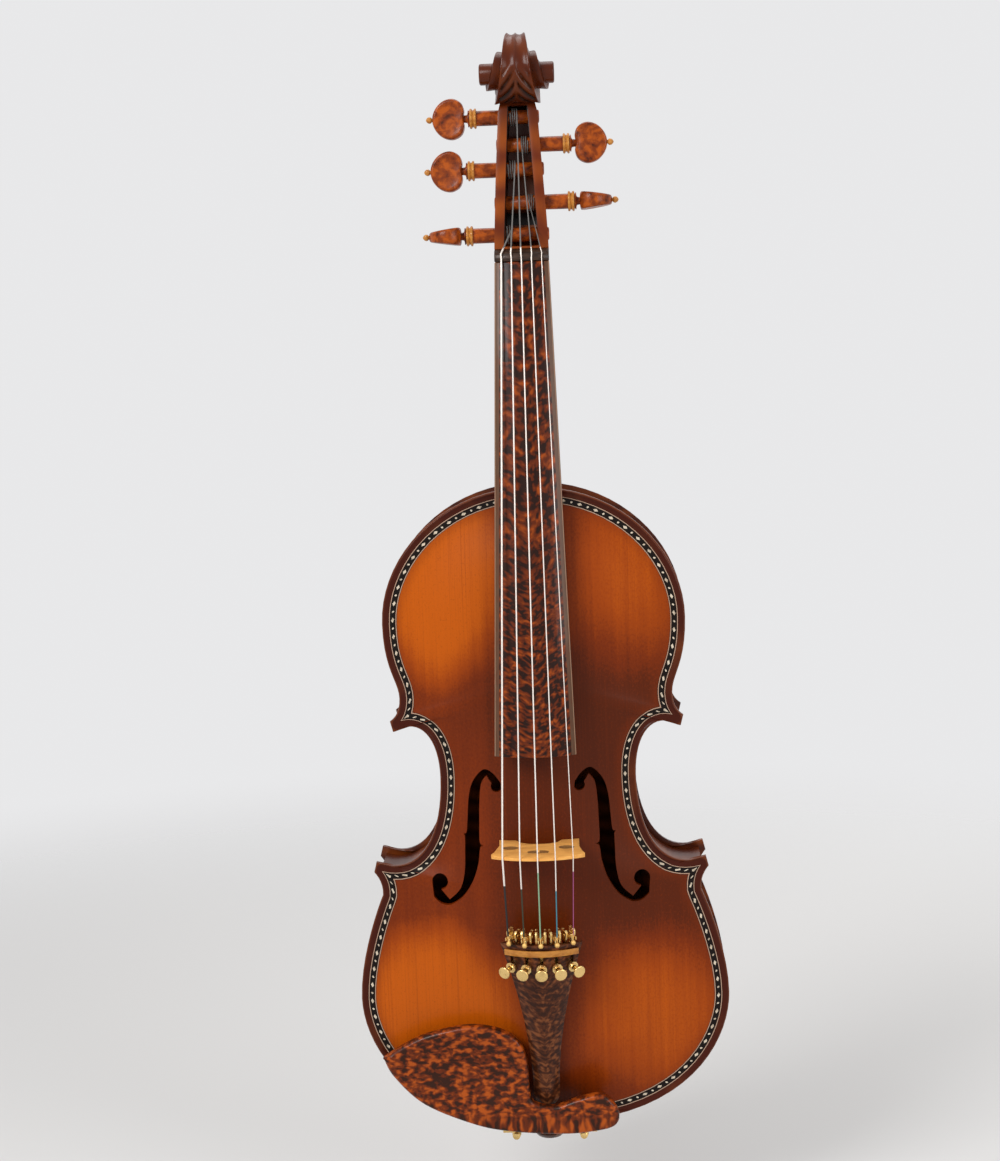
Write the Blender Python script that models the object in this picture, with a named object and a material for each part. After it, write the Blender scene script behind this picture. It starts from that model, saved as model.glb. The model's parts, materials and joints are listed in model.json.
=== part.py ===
"""Five-string violin, hanging upright: every piece is its own solid.

Working frame: x to the right of the player's view of the front, y away from the viewer
(0 where the ribs meet the front plate), height up from the lower end of the body.
One empty carries the whole instrument, so that the origin lies at the hanging point
under the scroll. All sizes are in metres.
"""
import math

import bmesh
import bpy
from mathutils import Matrix, Vector
from mathutils.bvhtree import BVHTree

# General fits
GAP = 0.0003                    # clearance between pieces that touch
HANG_HEIGHT = 0.5700            # throat under the scroll, where a fork holds the violin

# Body outline: half widths come from these full widths
BODY_LENGTH = 0.3615
LOWER_BOUT_WIDTH = 0.2068
LOWER_BOUT_HEIGHT = 0.0750
LOWER_NARROW_WIDTH = 0.1780
LOWER_NARROW_HEIGHT = 0.1345
LOWER_CORNER_WIDTH = 0.1868
LOWER_CORNER_HEIGHT = 0.1478
CORNER_EDGE = 0.0060            # length of the blunt end of a corner
WAIST_WIDTH = 0.1086
WAIST_HEIGHT = 0.2010
UPPER_CORNER_WIDTH = 0.1624
UPPER_CORNER_HEIGHT = 0.2333
UPPER_NARROW_WIDTH = 0.1508
UPPER_NARROW_HEIGHT = 0.2460
UPPER_BOUT_WIDTH = 0.1668
UPPER_BOUT_HEIGHT = 0.2880

# Plates and ribs
EDGE_THICKNESS = 0.0040
PLATE_THICKNESS = 0.0030
FRONT_ARCH = 0.0155             # outer arch height above the ribs
BACK_ARCH = 0.0150
FLUTE_DEPTH = 0.0006
ARCH_FALL = 0.25                # share of the arch lost towards the ends of the spine
LOWER_SPINE_END = 0.0450        # distance from the lower end where the arch ridge starts
UPPER_SPINE_END = 0.0480
RIB_HEIGHT = 0.0310
RIB_THICKNESS = 0.0012
OVERHANG = 0.0028
RIB_CORNER_INSET = 0.0022
BUTTON_WIDTH = 0.0220
BUTTON_LENGTH = 0.0130

# Blocks, bar and post
NECK_BLOCK_WIDTH = 0.0540
NECK_BLOCK_DEPTH = 0.0170
END_BLOCK_WIDTH = 0.0460
END_BLOCK_DEPTH = 0.0150
CORNER_BLOCK_LENGTH = 0.0240
BASS_BAR_LENGTH = 0.2700
BASS_BAR_WIDTH = 0.0055
BASS_BAR_DEPTH = 0.0110
BASS_BAR_OFFSET = 0.0170
POST_DIAMETER = 0.0062
POST_OFFSET = 0.0185
POST_BELOW_BRIDGE = 0.0060

# Sound holes (right one; the left one is its mirror image)
UPPER_EYE = (0.0230, 0.1970)
UPPER_EYE_RADIUS = 0.0030
LOWER_EYE = (0.0562, 0.1430)
LOWER_EYE_RADIUS = 0.0045

# Neck, fingerboard and nut
STRING_LENGTH = 0.3200
BRIDGE_HEIGHT = 0.1650          # where the bridge stands
FINGERBOARD_LENGTH = 0.2650
NUT_WIDTH = 0.0294
FINGERBOARD_END_WIDTH = 0.0444
FINGERBOARD_EDGE = 0.0055
FINGERBOARD_RADIUS = 0.0420
NUT_LENGTH = 0.0067
NUT_RISE = 0.0009
NECK_OVERSTAND = 0.0050         # glued face of the neck in front of the plate's edge
NECK_TILT = 0.1040              # forward lean of the neck, as a slope
NECK_DEPTH = 0.0106             # wood under the fingerboard at the nut
NECK_DEPTH_GAIN = 0.0010        # more of it at the heel
HEEL_START = 0.0245             # above the body, where the heel curve leaves the neck
HEEL_FRONT_WIDTH = 0.0340
HEEL_BACK_WIDTH = 0.0210
MORTISE_DEPTH = 0.0095

# Pegbox and scroll
PEGBOX_BACK = 0.0310
PEGBOX_TOP_WIDTH = 0.0212
PEGBOX_WALL = 0.0052
PEGBOX_FLOOR = 0.0045
PEGBOX_LENGTH = 0.0730
EYE_ABOVE_NUT = 0.0935          # eye of the scroll above the start of the pegbox
EYE_DEPTH = 0.0105
SCROLL_RADIUS = 0.0215
SCROLL_SHRINK = 0.558           # radius ratio of one turn to the turn outside it
SCROLL_TOP_WIDTH = 0.0096
CHIN_WIDTH = 0.0250
SECOND_TURN_WIDTH = 0.0332
EYE_RADIUS = 0.0057
EYES_WIDTH = 0.0404

# Pegs: height above the start of the pegbox, side (-1 left), turn in degrees
PEG_RADIUS = 0.0041
PEG_TIP_RADIUS = 0.0036
COLLAR_RADIUS = 0.0055
COLLAR_WIDTH = 0.0036
COLLAR_DISTANCE = 0.0120        # wall of the pegbox to the collar
PEG_HEAD_LENGTH = 0.0180
PEG_HEAD_WIDTH = 0.0220
PEG_HEAD_THICKNESS = 0.0100
PEG_HEAD_TIP_SHARE = 0.50       # thickness at the tip of the head, as a share
PEG_NECK_LENGTH = 0.0022
PEG_PIP_RADIUS = 0.0018
PEG_BEHIND_EDGE = 0.0090        # peg axis behind the front edge of the pegbox
PEG_LAYOUT = {
    "c": (0.0080, -1, 90.0),
    "e": (0.0250, 1, 90.0),
    "g": (0.0430, -1, 0.0),
    "a": (0.0560, 1, 0.0),
    "d": (0.0710, -1, 0.0),
}

# Strings: diameter, turns on the peg, x where the winding starts
STRING_ORDER = ("c", "g", "d", "a", "e")
STRING_DIAMETER = {"c": 0.00100, "g": 0.00080, "d": 0.00075, "a": 0.00065, "e": 0.00050}
STRING_TURNS = {"c": 2, "g": 3, "d": 3, "a": 3, "e": 3}
WINDING_START = {"c": -0.0049, "g": -0.0024, "d": -0.0006, "a": 0.0014, "e": 0.0042}
WINDING_GAP = 0.00048
TURN_POINTS = 16
NUT_SPACING = 0.0054
BRIDGE_SPACING = 0.0095

# Bridge
BRIDGE_CROWN = 0.0330           # crown above the plate
BRIDGE_FEET_WIDTH = 0.0440
BRIDGE_TOP_WIDTH = 0.0506
BRIDGE_FOOT_THICKNESS = 0.0045
BRIDGE_CROWN_THICKNESS = 0.0014
BRIDGE_RADIUS = 0.0420

# Tailpiece, gut, saddle and end button
TAILPIECE_TOP = 0.1145
TAILPIECE_LENGTH = 0.0975
TAILPIECE_WIDTH = 0.0450
TAILPIECE_NARROW = 0.0146
TAILPIECE_CROWN = 0.0387        # y of its wide end, measured forward
TAILPIECE_TILT = 12.0
TAILPIECE_DROP = 0.0070         # arch of the wide end: how far its sides fall back
TAILPIECE_LOW_DROP = 0.0026
TAILPIECE_THICKNESS = 0.0035
TAILPIECE_END_THICKNESS = 0.0062
FRET_WIDTH = 0.0036
FRET_RISE = 0.0016
FRET_FROM_END = 0.0030
GUT_DIAMETER = 0.0020
GUT_SPREAD = 0.0064
SADDLE_WIDTH = 0.0340
SADDLE_LENGTH = 0.0078
SADDLE_RISE = 0.0045            # above the plate edge
BUTTON_SHAFT_RADIUS = 0.0038
BUTTON_NECK_RADIUS = 0.0042
BUTTON_HEAD_RADIUS = 0.0100
BUTTON_HEAD_LENGTH = 0.0088

# Fine tuners, in their own frame: t along the tailpiece, n out of it
TUNER_COUNT = 5
TUNER_SPACING = 0.0081
TUNER_FROM_END = 0.0138
TUNER_POST_RADIUS = 0.0020
TUNER_NUT_RADIUS = 0.0030
TUNER_NUT_RISE = 0.0017
TUNER_SCREW_RADIUS = 0.0011
TUNER_HEAD_RADIUS = 0.0035
TUNER_HEAD_THICKNESS = 0.0016
TUNER_HEAD_RISE = 0.0074
TUNER_FRAME_WIDTH = 0.0060
TUNER_PLATE = 0.0012
TUNER_LEVER_WIDTH = 0.0030
TUNER_PIN_RADIUS = 0.0009
TUNER_PIVOT_AHEAD = 0.0045      # pivot in front of the wide end
TUNER_PIVOT_DROP = 0.0025
TUNER_NOSE = 0.0034             # cheeks in front of the pivot
TUNER_CHEEK_RISE = 0.0026       # cheeks above the pivot
TUNER_FORK_RISE = 0.0038
TUNER_FORK_GAP = 0.0018
TUNER_ARM_DROP = 0.0075
TUNER_ARM_THICKNESS = 0.0015
BALL_RADIUS = 0.0015

# Chinrest and its clamp
CHINREST_FRONT = 0.0255         # outer face at the middle, measured forward
CHINREST_FALL = 0.05            # its slope towards the bass side
CHINREST_THICKNESS = 0.0060
CORK_THICKNESS = 0.0014
CLAMP_BASS_X = -0.0180
CLAMP_TREBLE_X = 0.0200
CLAMP_HEIGHT = -0.0031
BARREL_RADIUS = 0.0026
BARREL_LENGTH = 0.0270
CLAMP_ROD_RADIUS = 0.0013
YOKE_THICKNESS = 0.0020
FOOT_LOW = 0.0064               # lower side of the chinrest's feet
FOOT_HEIGHT = 0.0046
FOOT_LENGTH = 0.0175
YOKE_FRONT = 0.0135
CLAMP_PLATE_THICKNESS = 0.0023
CHINREST_OUTLINE = (
    (-0.0908, 0.0459), (-0.0709, 0.0572), (-0.0511, 0.0629), (-0.0373, 0.0642),
    (-0.0238, 0.0615), (-0.0155, 0.0563), (-0.0113, 0.0490), (-0.0098, 0.0400),
    (-0.0094, 0.0290), (-0.0080, 0.0210), (-0.0017, 0.0184), (0.0061, 0.0184),
    (0.0159, 0.0220), (0.0287, 0.0252), (0.0362, 0.0212), (0.0401, 0.0130),
    (0.0360, 0.0062), (0.0202, 0.0028), (0.0055, 0.0020), (-0.0180, 0.0030),
    (-0.0396, 0.0068), (-0.0681, 0.0185), (-0.0850, 0.0345),
)

# Sound-hole outline between its eyes, outer edge then inner edge, as (x, height)
F_OUTER_EDGE = (
    (0.0205, 0.1995), (0.0245, 0.2045), (0.0298, 0.2065), (0.0359, 0.1998),
    (0.0387, 0.1904), (0.0399, 0.1764), (0.0406, 0.1705), (0.0422, 0.1697),
    (0.0415, 0.1680), (0.0416, 0.1623), (0.0421, 0.1493), (0.0447, 0.1396),
    (0.0510, 0.1330),
)
F_INNER_EDGE = (
    (0.0600, 0.1340), (0.0561, 0.1305), (0.0516, 0.1297), (0.0480, 0.1312),
    (0.0426, 0.1357), (0.0373, 0.1442), (0.0342, 0.1539), (0.0331, 0.1620),
    (0.0313, 0.1636), (0.0332, 0.1655), (0.0331, 0.1760), (0.0327, 0.1875),
    (0.0315, 0.1980), (0.0282, 0.2030),
)

# Derived places
BACK_PLANE = RIB_HEIGHT + 2 * GAP
NUT_HEIGHT = BRIDGE_HEIGHT + STRING_LENGTH
BOARD_TOP = NUT_HEIGHT - 0.0020
FINGERBOARD_LOW = BOARD_TOP - FINGERBOARD_LENGTH
PEGBOX_START = BOARD_TOP + GAP + NUT_LENGTH
EYE_HEIGHT = PEGBOX_START + EYE_ABOVE_NUT
NECK_PLANE_AT_NUT = NECK_TILT * (BOARD_TOP - BODY_LENGTH) - EDGE_THICKNESS - NECK_OVERSTAND
TAILPIECE_LOW = TAILPIECE_TOP - TAILPIECE_LENGTH
TUNER_HEIGHT = TAILPIECE_TOP - TUNER_FROM_END * math.cos(math.radians(TAILPIECE_TILT))


def clear_scene():
    """Remove whatever the file holds."""
    for item in list(bpy.data.objects):
        bpy.data.objects.remove(item, do_unlink=True)


def make_root():
    """Return the empty that carries the violin, its origin at the hanging point."""
    root = bpy.data.objects.new("violin_root", None)
    root.location = (0.0, 0.0, -HANG_HEIGHT)
    bpy.context.scene.collection.objects.link(root)
    return root


# Finishes: colour, roughness, metallic
VARNISHED_SPRUCE = ((0.62, 0.27, 0.06), 0.30, 0.0)
VARNISHED_MAPLE = ((0.36, 0.12, 0.03), 0.30, 0.0)
PLAIN_SPRUCE = ((0.78, 0.62, 0.40), 0.70, 0.0)
SNAKEWOOD = ((0.30, 0.09, 0.03), 0.28, 0.0)
EBONY = ((0.035, 0.025, 0.02), 0.35, 0.0)
BOXWOOD = ((0.72, 0.42, 0.12), 0.40, 0.0)
BRIDGE_MAPLE = ((0.86, 0.60, 0.30), 0.50, 0.0)
GILT = ((0.83, 0.62, 0.26), 0.25, 1.0)
STEEL = ((0.75, 0.75, 0.74), 0.25, 1.0)
CORD_BLACK = ((0.03, 0.03, 0.03), 0.50, 0.0)
CORK = ((0.55, 0.36, 0.20), 0.85, 0.0)


def paint(item, finish):
    """Give an object its own plain material."""
    colour, roughness, metallic = finish
    material = bpy.data.materials.new(item.name + "_finish")
    material.use_nodes = True
    shader = material.node_tree.nodes["Principled BSDF"]
    shader.inputs["Base Color"].default_value = (*colour, 1.0)
    shader.inputs["Roughness"].default_value = roughness
    shader.inputs["Metallic"].default_value = metallic
    item.data.materials.append(material)


def place(name, mesh_data, finish, location=(0.0, 0.0, 0.0), turn=None):
    """Link a finished mesh or curve under the violin's empty."""
    item = bpy.data.objects.new(name, mesh_data)
    bpy.context.scene.collection.objects.link(item)
    item.parent = ROOT
    item.location = location
    if turn is not None:
        item.rotation_euler = turn.to_euler()
    if finish is None:
        item.hide_render = True
        item.display_type = "WIRE"
    else:
        paint(item, finish)
    return item


def solid(name, shape, finish, location=(0.0, 0.0, 0.0), turn=None, sharp=35.0):
    """Turn a bmesh into a placed object with outward faces and smooth shading."""
    bmesh.ops.remove_doubles(shape, verts=shape.verts, dist=1e-7)
    bmesh.ops.recalc_face_normals(shape, faces=shape.faces)
    data = bpy.data.meshes.new(name)
    shape.to_mesh(data)
    shape.free()
    data.shade_smooth()
    data.set_sharp_from_angle(angle=math.radians(sharp))
    return place(name, data, finish, location, turn)


def combine(item, other, operation):
    """Join another object to this one, or cut it away."""
    step = item.modifiers.new(other.name, "BOOLEAN")
    step.operation = operation
    step.solver = "EXACT"
    step.object = other


def cut(item, other):
    """Cut another object's shape out of this one."""
    combine(item, other, "DIFFERENCE")


def fuse(item, other):
    """Make another object's shape part of this one."""
    combine(item, other, "UNION")


def loft(sections):
    """Skin closed sections, given as equal lists of points, and cap both ends."""
    shape = bmesh.new()
    rings = [[shape.verts.new(point) for point in section] for section in sections]
    count = len(rings[0])
    for low, high in zip(rings, rings[1:]):
        for i in range(count):
            j = (i + 1) % count
            shape.faces.new((low[i], low[j], high[j], high[i]))
    shape.faces.new(rings[0])
    shape.faces.new(list(reversed(rings[-1])))
    return shape


def prism(outline, low, high, to_space):
    """Extrude a flat outline from one level to another; to_space maps (a, b, level)."""
    return loft([[to_space(a, b, level) for a, b in outline] for level in (low, high)])


def box(low, high):
    """Return a box between two corners."""
    outline = ((low[0], low[1]), (high[0], low[1]), (high[0], high[1]), (low[0], high[1]))
    return prism(outline, low[2], high[2], lambda a, b, c: (a, b, c))


def lathe(profile, sides, axis="z"):
    """Turn a profile of (distance along the axis, radius) points; its ends are closed."""
    shape = bmesh.new()

    def point(along, across, up):
        if axis == "x":
            return (along, across, up)
        if axis == "y":
            return (across, along, up)
        return (across, up, along)

    rings = []
    for along, radius in profile:
        if radius <= 0.0:
            rings.append([shape.verts.new(point(along, 0.0, 0.0))])
            continue
        ring = []
        for k in range(sides):
            angle = 2 * math.pi * (k + 0.5) / sides
            ring.append(shape.verts.new(point(along, radius * math.cos(angle),
                                              radius * math.sin(angle))))
        rings.append(ring)
    for low, high in zip(rings, rings[1:]):
        for k in range(sides):
            j = (k + 1) % sides
            if len(low) == 1:
                shape.faces.new((low[0], high[j], high[k]))
            elif len(high) == 1:
                shape.faces.new((low[k], low[j], high[0]))
            else:
                shape.faces.new((low[k], low[j], high[j], high[k]))
    return shape


def bezier(start, pull, push, end, count):
    """Return count points along a cubic curve, without its start."""
    points = []
    for k in range(1, count + 1):
        t = k / count
        a = (1 - t) ** 3
        b = 3 * (1 - t) ** 2 * t
        c = 3 * (1 - t) * t * t
        d = t ** 3
        points.append(tuple(a * p + b * q + c * r + d * s
                            for p, q, r, s in zip(start, pull, push, end)))
    return points


def smooth_through(points, per_span, closed=False):
    """Return points on a Catmull-Rom curve through the given ones."""
    count = len(points)
    spans = count if closed else count - 1
    result = []
    for i in range(spans):
        if closed:
            around = [points[(i + k) % count] for k in (-1, 0, 1, 2)]
        else:
            around = [points[max(0, min(count - 1, i + k))] for k in (-1, 0, 1, 2)]
        for step in range(per_span):
            t = step / per_span
            weights = (-0.5 * t + t * t - 0.5 * t ** 3,
                       1 - 2.5 * t * t + 1.5 * t ** 3,
                       0.5 * t + 2 * t * t - 1.5 * t ** 3,
                       -0.5 * t * t + 0.5 * t ** 3)
            result.append(tuple(sum(w * p[axis] for w, p in zip(weights, around))
                                for axis in range(len(points[0]))))
    if not closed:
        result.append(tuple(points[-1]))
    return result


# Body outline

def corner_points():
    """Return the blunt corner ends: lower and upper edge point of each corner."""
    low = LOWER_CORNER_WIDTH / 2
    high = UPPER_CORNER_WIDTH / 2
    lean = 0.25 * CORNER_EDGE
    return {
        "lower_under": (low, LOWER_CORNER_HEIGHT),
        "lower_over": (low - lean, LOWER_CORNER_HEIGHT + 0.97 * CORNER_EDGE),
        "upper_under": (high - lean, UPPER_CORNER_HEIGHT - 0.97 * CORNER_EDGE),
        "upper_over": (high, UPPER_CORNER_HEIGHT),
    }


def outline_spans():
    """Return the right half of the outline as named spans of (x, height, ridge height).

    The ridge height is where the line from the edge inwards meets the arch ridge.
    """
    corners = corner_points()
    lower = (LOWER_BOUT_WIDTH / 2, LOWER_BOUT_HEIGHT)
    narrow = (LOWER_NARROW_WIDTH / 2, LOWER_NARROW_HEIGHT)
    waist = (WAIST_WIDTH / 2, WAIST_HEIGHT)
    neck = (UPPER_NARROW_WIDTH / 2, UPPER_NARROW_HEIGHT)
    upper = (UPPER_BOUT_WIDTH / 2, UPPER_BOUT_HEIGHT)
    top = (0.0, BODY_LENGTH)
    l_under = corners["lower_under"]
    l_over = corners["lower_over"]
    u_under = corners["upper_under"]
    u_over = corners["upper_over"]
    ridge_end = BODY_LENGTH - UPPER_SPINE_END
    spans = [
        ("bottom", (0.0, 0.0), (0.78 * lower[0], 0.0),
         (lower[0], lower[1] - 0.0270), lower, 7, LOWER_SPINE_END, lower[1] + 0.004),
        ("lower", lower, (lower[0], lower[1] + 0.0254),
         (narrow[0] + 0.0010, narrow[1] - 0.0017), narrow, 4, lower[1] + 0.004, 0.112),
        ("lower_flare", narrow, (narrow[0] - 0.0004, narrow[1] + 0.0062),
         (l_under[0] - 0.0025, l_under[1] - 0.0030), l_under, 2, 0.112, 0.124),
        ("lower_tip", l_under, l_under, l_over, l_over, 1, 0.124, 0.130),
        ("waist_low", l_over, (l_over[0] - 0.0218, l_over[1] - 0.0092),
         (waist[0], waist[1] - 0.0376), waist, 7, 0.130, waist[1]),
        ("waist_high", waist, (waist[0], waist[1] + 0.0220),
         (u_under[0] - 0.0154, u_under[1] + 0.0092), u_under, 6, waist[1], 0.252),
        ("upper_tip", u_under, u_under, u_over, u_over, 1, 0.252, 0.257),
        ("upper_flare", u_over, (u_over[0] - 0.0037, u_over[1] + 0.0024),
         (neck[0], neck[1] - 0.0060), neck, 2, 0.257, 0.268),
        ("upper", neck, (neck[0], neck[1] + 0.0101),
         (upper[0], upper[1] - 0.0264), upper, 4, 0.268, 0.291),
        ("top", upper, (upper[0], upper[1] + 0.0365),
         (0.0500, top[1]), top, 7, 0.291, ridge_end),
    ]
    result = {}
    for name, start, pull, push, end, count, ridge_low, ridge_high in spans:
        points = [(*start, ridge_low)]
        for k, point in enumerate(bezier(start, pull, push, end, count), 1):
            points.append((*point, ridge_low + (ridge_high - ridge_low) * k / count))
        result[name] = points
    return result


def half_outline():
    """Return the right half of the outline from the lower end to the top, in one list."""
    points = []
    for span in outline_spans().values():
        points.extend(span if not points else span[1:])
    return points


def offset_line(points, distance):
    """Shift a line of (x, height) points sideways, into the body on the right half."""
    shifted = []
    for i, point in enumerate(points):
        before = points[max(0, i - 1)]
        after = points[min(len(points) - 1, i + 1)]
        along = Vector((after[0] - before[0], after[1] - before[1])).normalized()
        if point[0] == 0.0:
            along = Vector((math.copysign(1.0, along[0]), 0.0))
        shifted.append((point[0] - along[1] * distance, point[1] + along[0] * distance))
    return shifted


# Plates

def outer_rise(share, ridge, arch):
    """Height of a plate's outer face: share 1 at the edge, 0 on the arch ridge."""
    flute_share = 0.92
    if share > 0.99:
        return EDGE_THICKNESS - 0.0012
    if share > 0.94:
        return EDGE_THICKNESS
    middle = 0.5 * (LOWER_SPINE_END + BODY_LENGTH - UPPER_SPINE_END)
    reach = 0.5 * (BODY_LENGTH - UPPER_SPINE_END - LOWER_SPINE_END)
    crown = (arch - EDGE_THICKNESS) * (1 - ARCH_FALL * ((ridge - middle) / reach) ** 2)
    inwards = max(0.0, (flute_share - share) / flute_share)
    swell = 0.5 - 0.5 * math.cos(math.pi * inwards ** 0.8)
    return EDGE_THICKNESS - FLUTE_DEPTH + (crown + FLUTE_DEPTH) * swell


def plate_mesh(base, outward, arch):
    """Model a carved plate: flat overhanging edge, flute and full arch, hollow inside."""
    half = half_outline()
    ring = [(x, h, r, 1) for x, h, r in half]
    ring += [(-x, h, r, -1) for x, h, r in reversed(half[1:-1])]
    outer_shares = (1.0, 0.985, 0.955, 0.92, 0.78, 0.55, 0.28)
    inner_shares = (0.92, 0.62, 0.28)
    shape = bmesh.new()

    def ring_verts(share, rise_of):
        verts = []
        for x, h, ridge, _ in ring:
            rise = rise_of(share, ridge)
            verts.append(shape.verts.new((share * x, base + outward * rise,
                                          ridge + share * (h - ridge))))
        return verts

    def inner_rise(share, ridge):
        if share >= 0.92:
            return 0.0
        return max(0.0, outer_rise(share, ridge, arch) - PLATE_THICKNESS)

    def ridge_verts(rise_of):
        made = {}
        verts = []
        for _, _, ridge, _ in ring:
            key = round(ridge, 7)
            if key not in made:
                made[key] = shape.verts.new((0.0, base + outward * rise_of(0.0, ridge), ridge))
            verts.append(made[key])
        return verts

    rings = [ridge_verts(inner_rise)]
    rings += [ring_verts(share, inner_rise) for share in reversed(inner_shares)]
    rings.append(ring_verts(1.0, lambda share, ridge: 0.0))
    outer = lambda share, ridge: outer_rise(share, ridge, arch)
    rings += [ring_verts(share, outer) for share in outer_shares]
    rings.append(ridge_verts(outer))
    count = len(ring)
    for low, high in zip(rings, rings[1:]):
        for i in range(count):
            j = (i + 1) % count
            corners = []
            for vert in (low[i], low[j], high[j], high[i]):
                if vert not in corners:
                    corners.append(vert)
            if len(corners) > 2:
                shape.faces.new(corners)
    return shape


def surface_tree(shape):
    """Return a tree for reading a plate's faces by straight lines along y."""
    bmesh.ops.recalc_face_normals(shape, faces=shape.faces)
    return BVHTree.FromBMesh(shape)


def read_depth(tree, x, height, start, direction):
    """Return y where a line along y first meets the plate."""
    hit = tree.ray_cast(Vector((x, start, height)), Vector((0.0, direction, 0.0)))
    return hit[0][1]


def arc_points(centre, radius, start, end, count):
    """Return points on an arc, angles in degrees, without its last point."""
    result = []
    for k in range(count):
        angle = math.radians(start + (end - start) * k / count)
        result.append((centre[0] + radius * math.cos(angle),
                       centre[1] + radius * math.sin(angle)))
    return result


def sound_hole(side):
    """Cutter for one sound hole, an f with round eyes and two nicks."""
    outline = []
    outline += smooth_through(F_OUTER_EDGE, 2)
    outline += arc_points(LOWER_EYE, LOWER_EYE_RADIUS, 262.0, -10.0, 9)
    outline += smooth_through(F_INNER_EDGE, 2)
    outline += arc_points(UPPER_EYE, UPPER_EYE_RADIUS, 35.0, -180.0, 7)
    name = "sound_hole_" + ("treble" if side > 0 else "bass")
    shape = prism([(side * x, h) for x, h in outline], -0.030, 0.001,
                  lambda a, b, level: (a, level, b))
    return solid(name, shape, None)


def make_plates():
    """Carve the front and back plates, and return trees of their faces."""
    front_shape = plate_mesh(0.0, -1.0, FRONT_ARCH)
    front_tree = surface_tree(front_shape)
    front = solid("front_plate", front_shape, VARNISHED_SPRUCE)
    for side in (-1, 1):
        cut(front, sound_hole(side))
    cut(front, mortise_cutter())
    notch = box((-SADDLE_WIDTH / 2 - GAP, -0.010, -0.002),
                (SADDLE_WIDTH / 2 + GAP, 0.002, SADDLE_LENGTH + GAP))
    cut(front, solid("saddle_notch", notch, None))

    back_shape = plate_mesh(BACK_PLANE, 1.0, BACK_ARCH)
    back_tree = surface_tree(back_shape)
    back = solid("back_plate", back_shape, VARNISHED_MAPLE)
    fuse(back, neck_button())
    return front_tree, back_tree


def neck_button():
    """The half-round tongue of the back plate that the heel is glued to."""
    radius = BUTTON_WIDTH / 2
    straight = BODY_LENGTH + BUTTON_LENGTH - radius
    outline = [(-radius, BODY_LENGTH - 0.006)]
    outline += [(radius, BODY_LENGTH - 0.006)]
    outline += arc_points((0.0, straight), radius, 0.0, 180.0, 10)
    outline.append((-radius, straight))
    thickness = EDGE_THICKNESS - 0.0002
    shape = prism(outline, BACK_PLANE + 0.0001, BACK_PLANE + thickness,
                  lambda a, b, level: (a, level, b))
    return solid("neck_button", shape, None)


# Ribs and blocks

def trim_at(line, other):
    """Cut a line off where it first crosses another one."""
    for i in range(len(line) - 1):
        p = Vector(line[i])
        step = Vector(line[i + 1]) - p
        for j in range(len(other) - 1):
            q = Vector(other[j])
            reach = Vector(other[j + 1]) - q
            area = step[0] * reach[1] - step[1] * reach[0]
            if abs(area) < 1e-14:
                continue
            away = q - p
            t = (away[0] * reach[1] - away[1] * reach[0]) / area
            s = (away[0] * step[1] - away[1] * step[0]) / area
            if 0.0 <= t <= 1.0 and 0.0 <= s <= 1.0:
                return line[:i + 1] + [tuple(p + step * t)]
    return line


def until(line, x):
    """Cut a line off at a distance from the middle."""
    return trim_at(line, [(x, -1.0), (x, 1.0)])


def stretch(line, length):
    """Lengthen a line at its end, straight on."""
    end = Vector(line[-1])
    along = (end - Vector(line[-2])).normalized()
    return line + [tuple(end + along * length)]


def shorten(line, length):
    """Take a length off the end of a line."""
    points = [Vector(p) for p in line]
    while len(points) > 2 and (points[-1] - points[-2]).length <= length:
        length -= (points[-1] - points[-2]).length
        points.pop()
    along = (points[-1] - points[-2]).normalized()
    points[-1] = points[-1] - along * length
    return [tuple(p) for p in points]


def span_line(*names):
    """Return the (x, height) points of joined outline spans."""
    spans = outline_spans()
    line = []
    for name in names:
        points = [(x, h) for x, h, _ in spans[name]]
        line.extend(points if not line else points[1:])
    return line


def rib_sides():
    """Return outer and inner lines of the right-hand ribs, each from its plain end.

    A bout rib runs right into the corner; the waist rib stops short of its inner face.
    """
    outer_at = OVERHANG
    inner_at = OVERHANG + RIB_THICKNESS
    lower = span_line("bottom", "lower", "lower_flare")
    upper = list(reversed(span_line("upper_flare", "upper", "top")))
    waist_low = list(reversed(span_line("waist_low")))
    waist_high = span_line("waist_high")
    lower_outer = shorten(offset_line(lower, outer_at), RIB_CORNER_INSET)
    lower_inner = shorten(offset_line(lower, inner_at), RIB_CORNER_INSET)
    upper_outer = shorten(offset_line(upper, -outer_at), RIB_CORNER_INSET)
    upper_inner = shorten(offset_line(upper, -inner_at), RIB_CORNER_INSET)
    lower_guard = stretch(offset_line(lower, inner_at + GAP), 0.004)
    upper_guard = stretch(offset_line(upper, -inner_at - GAP), 0.004)
    low_outer = trim_at(offset_line(waist_low, -outer_at), lower_guard)
    low_inner = trim_at(offset_line(waist_low, -inner_at), lower_guard)
    high_outer = trim_at(offset_line(waist_high, outer_at), upper_guard)
    high_inner = trim_at(offset_line(waist_high, inner_at), upper_guard)
    waist_outer = list(reversed(low_outer)) + high_outer[1:]
    waist_inner = list(reversed(low_inner)) + high_inner[1:]
    return {
        "lower": (lower_outer, lower_inner),
        "waist": (waist_outer, waist_inner),
        "upper": (upper_outer, upper_inner),
    }


def upright_prism(outline, side=1):
    """Extrude an (x, height) outline over the depth of the ribs."""
    return prism([(side * x, h) for x, h in outline], GAP, GAP + RIB_HEIGHT,
                 lambda a, b, level: (a, level, b))


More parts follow.
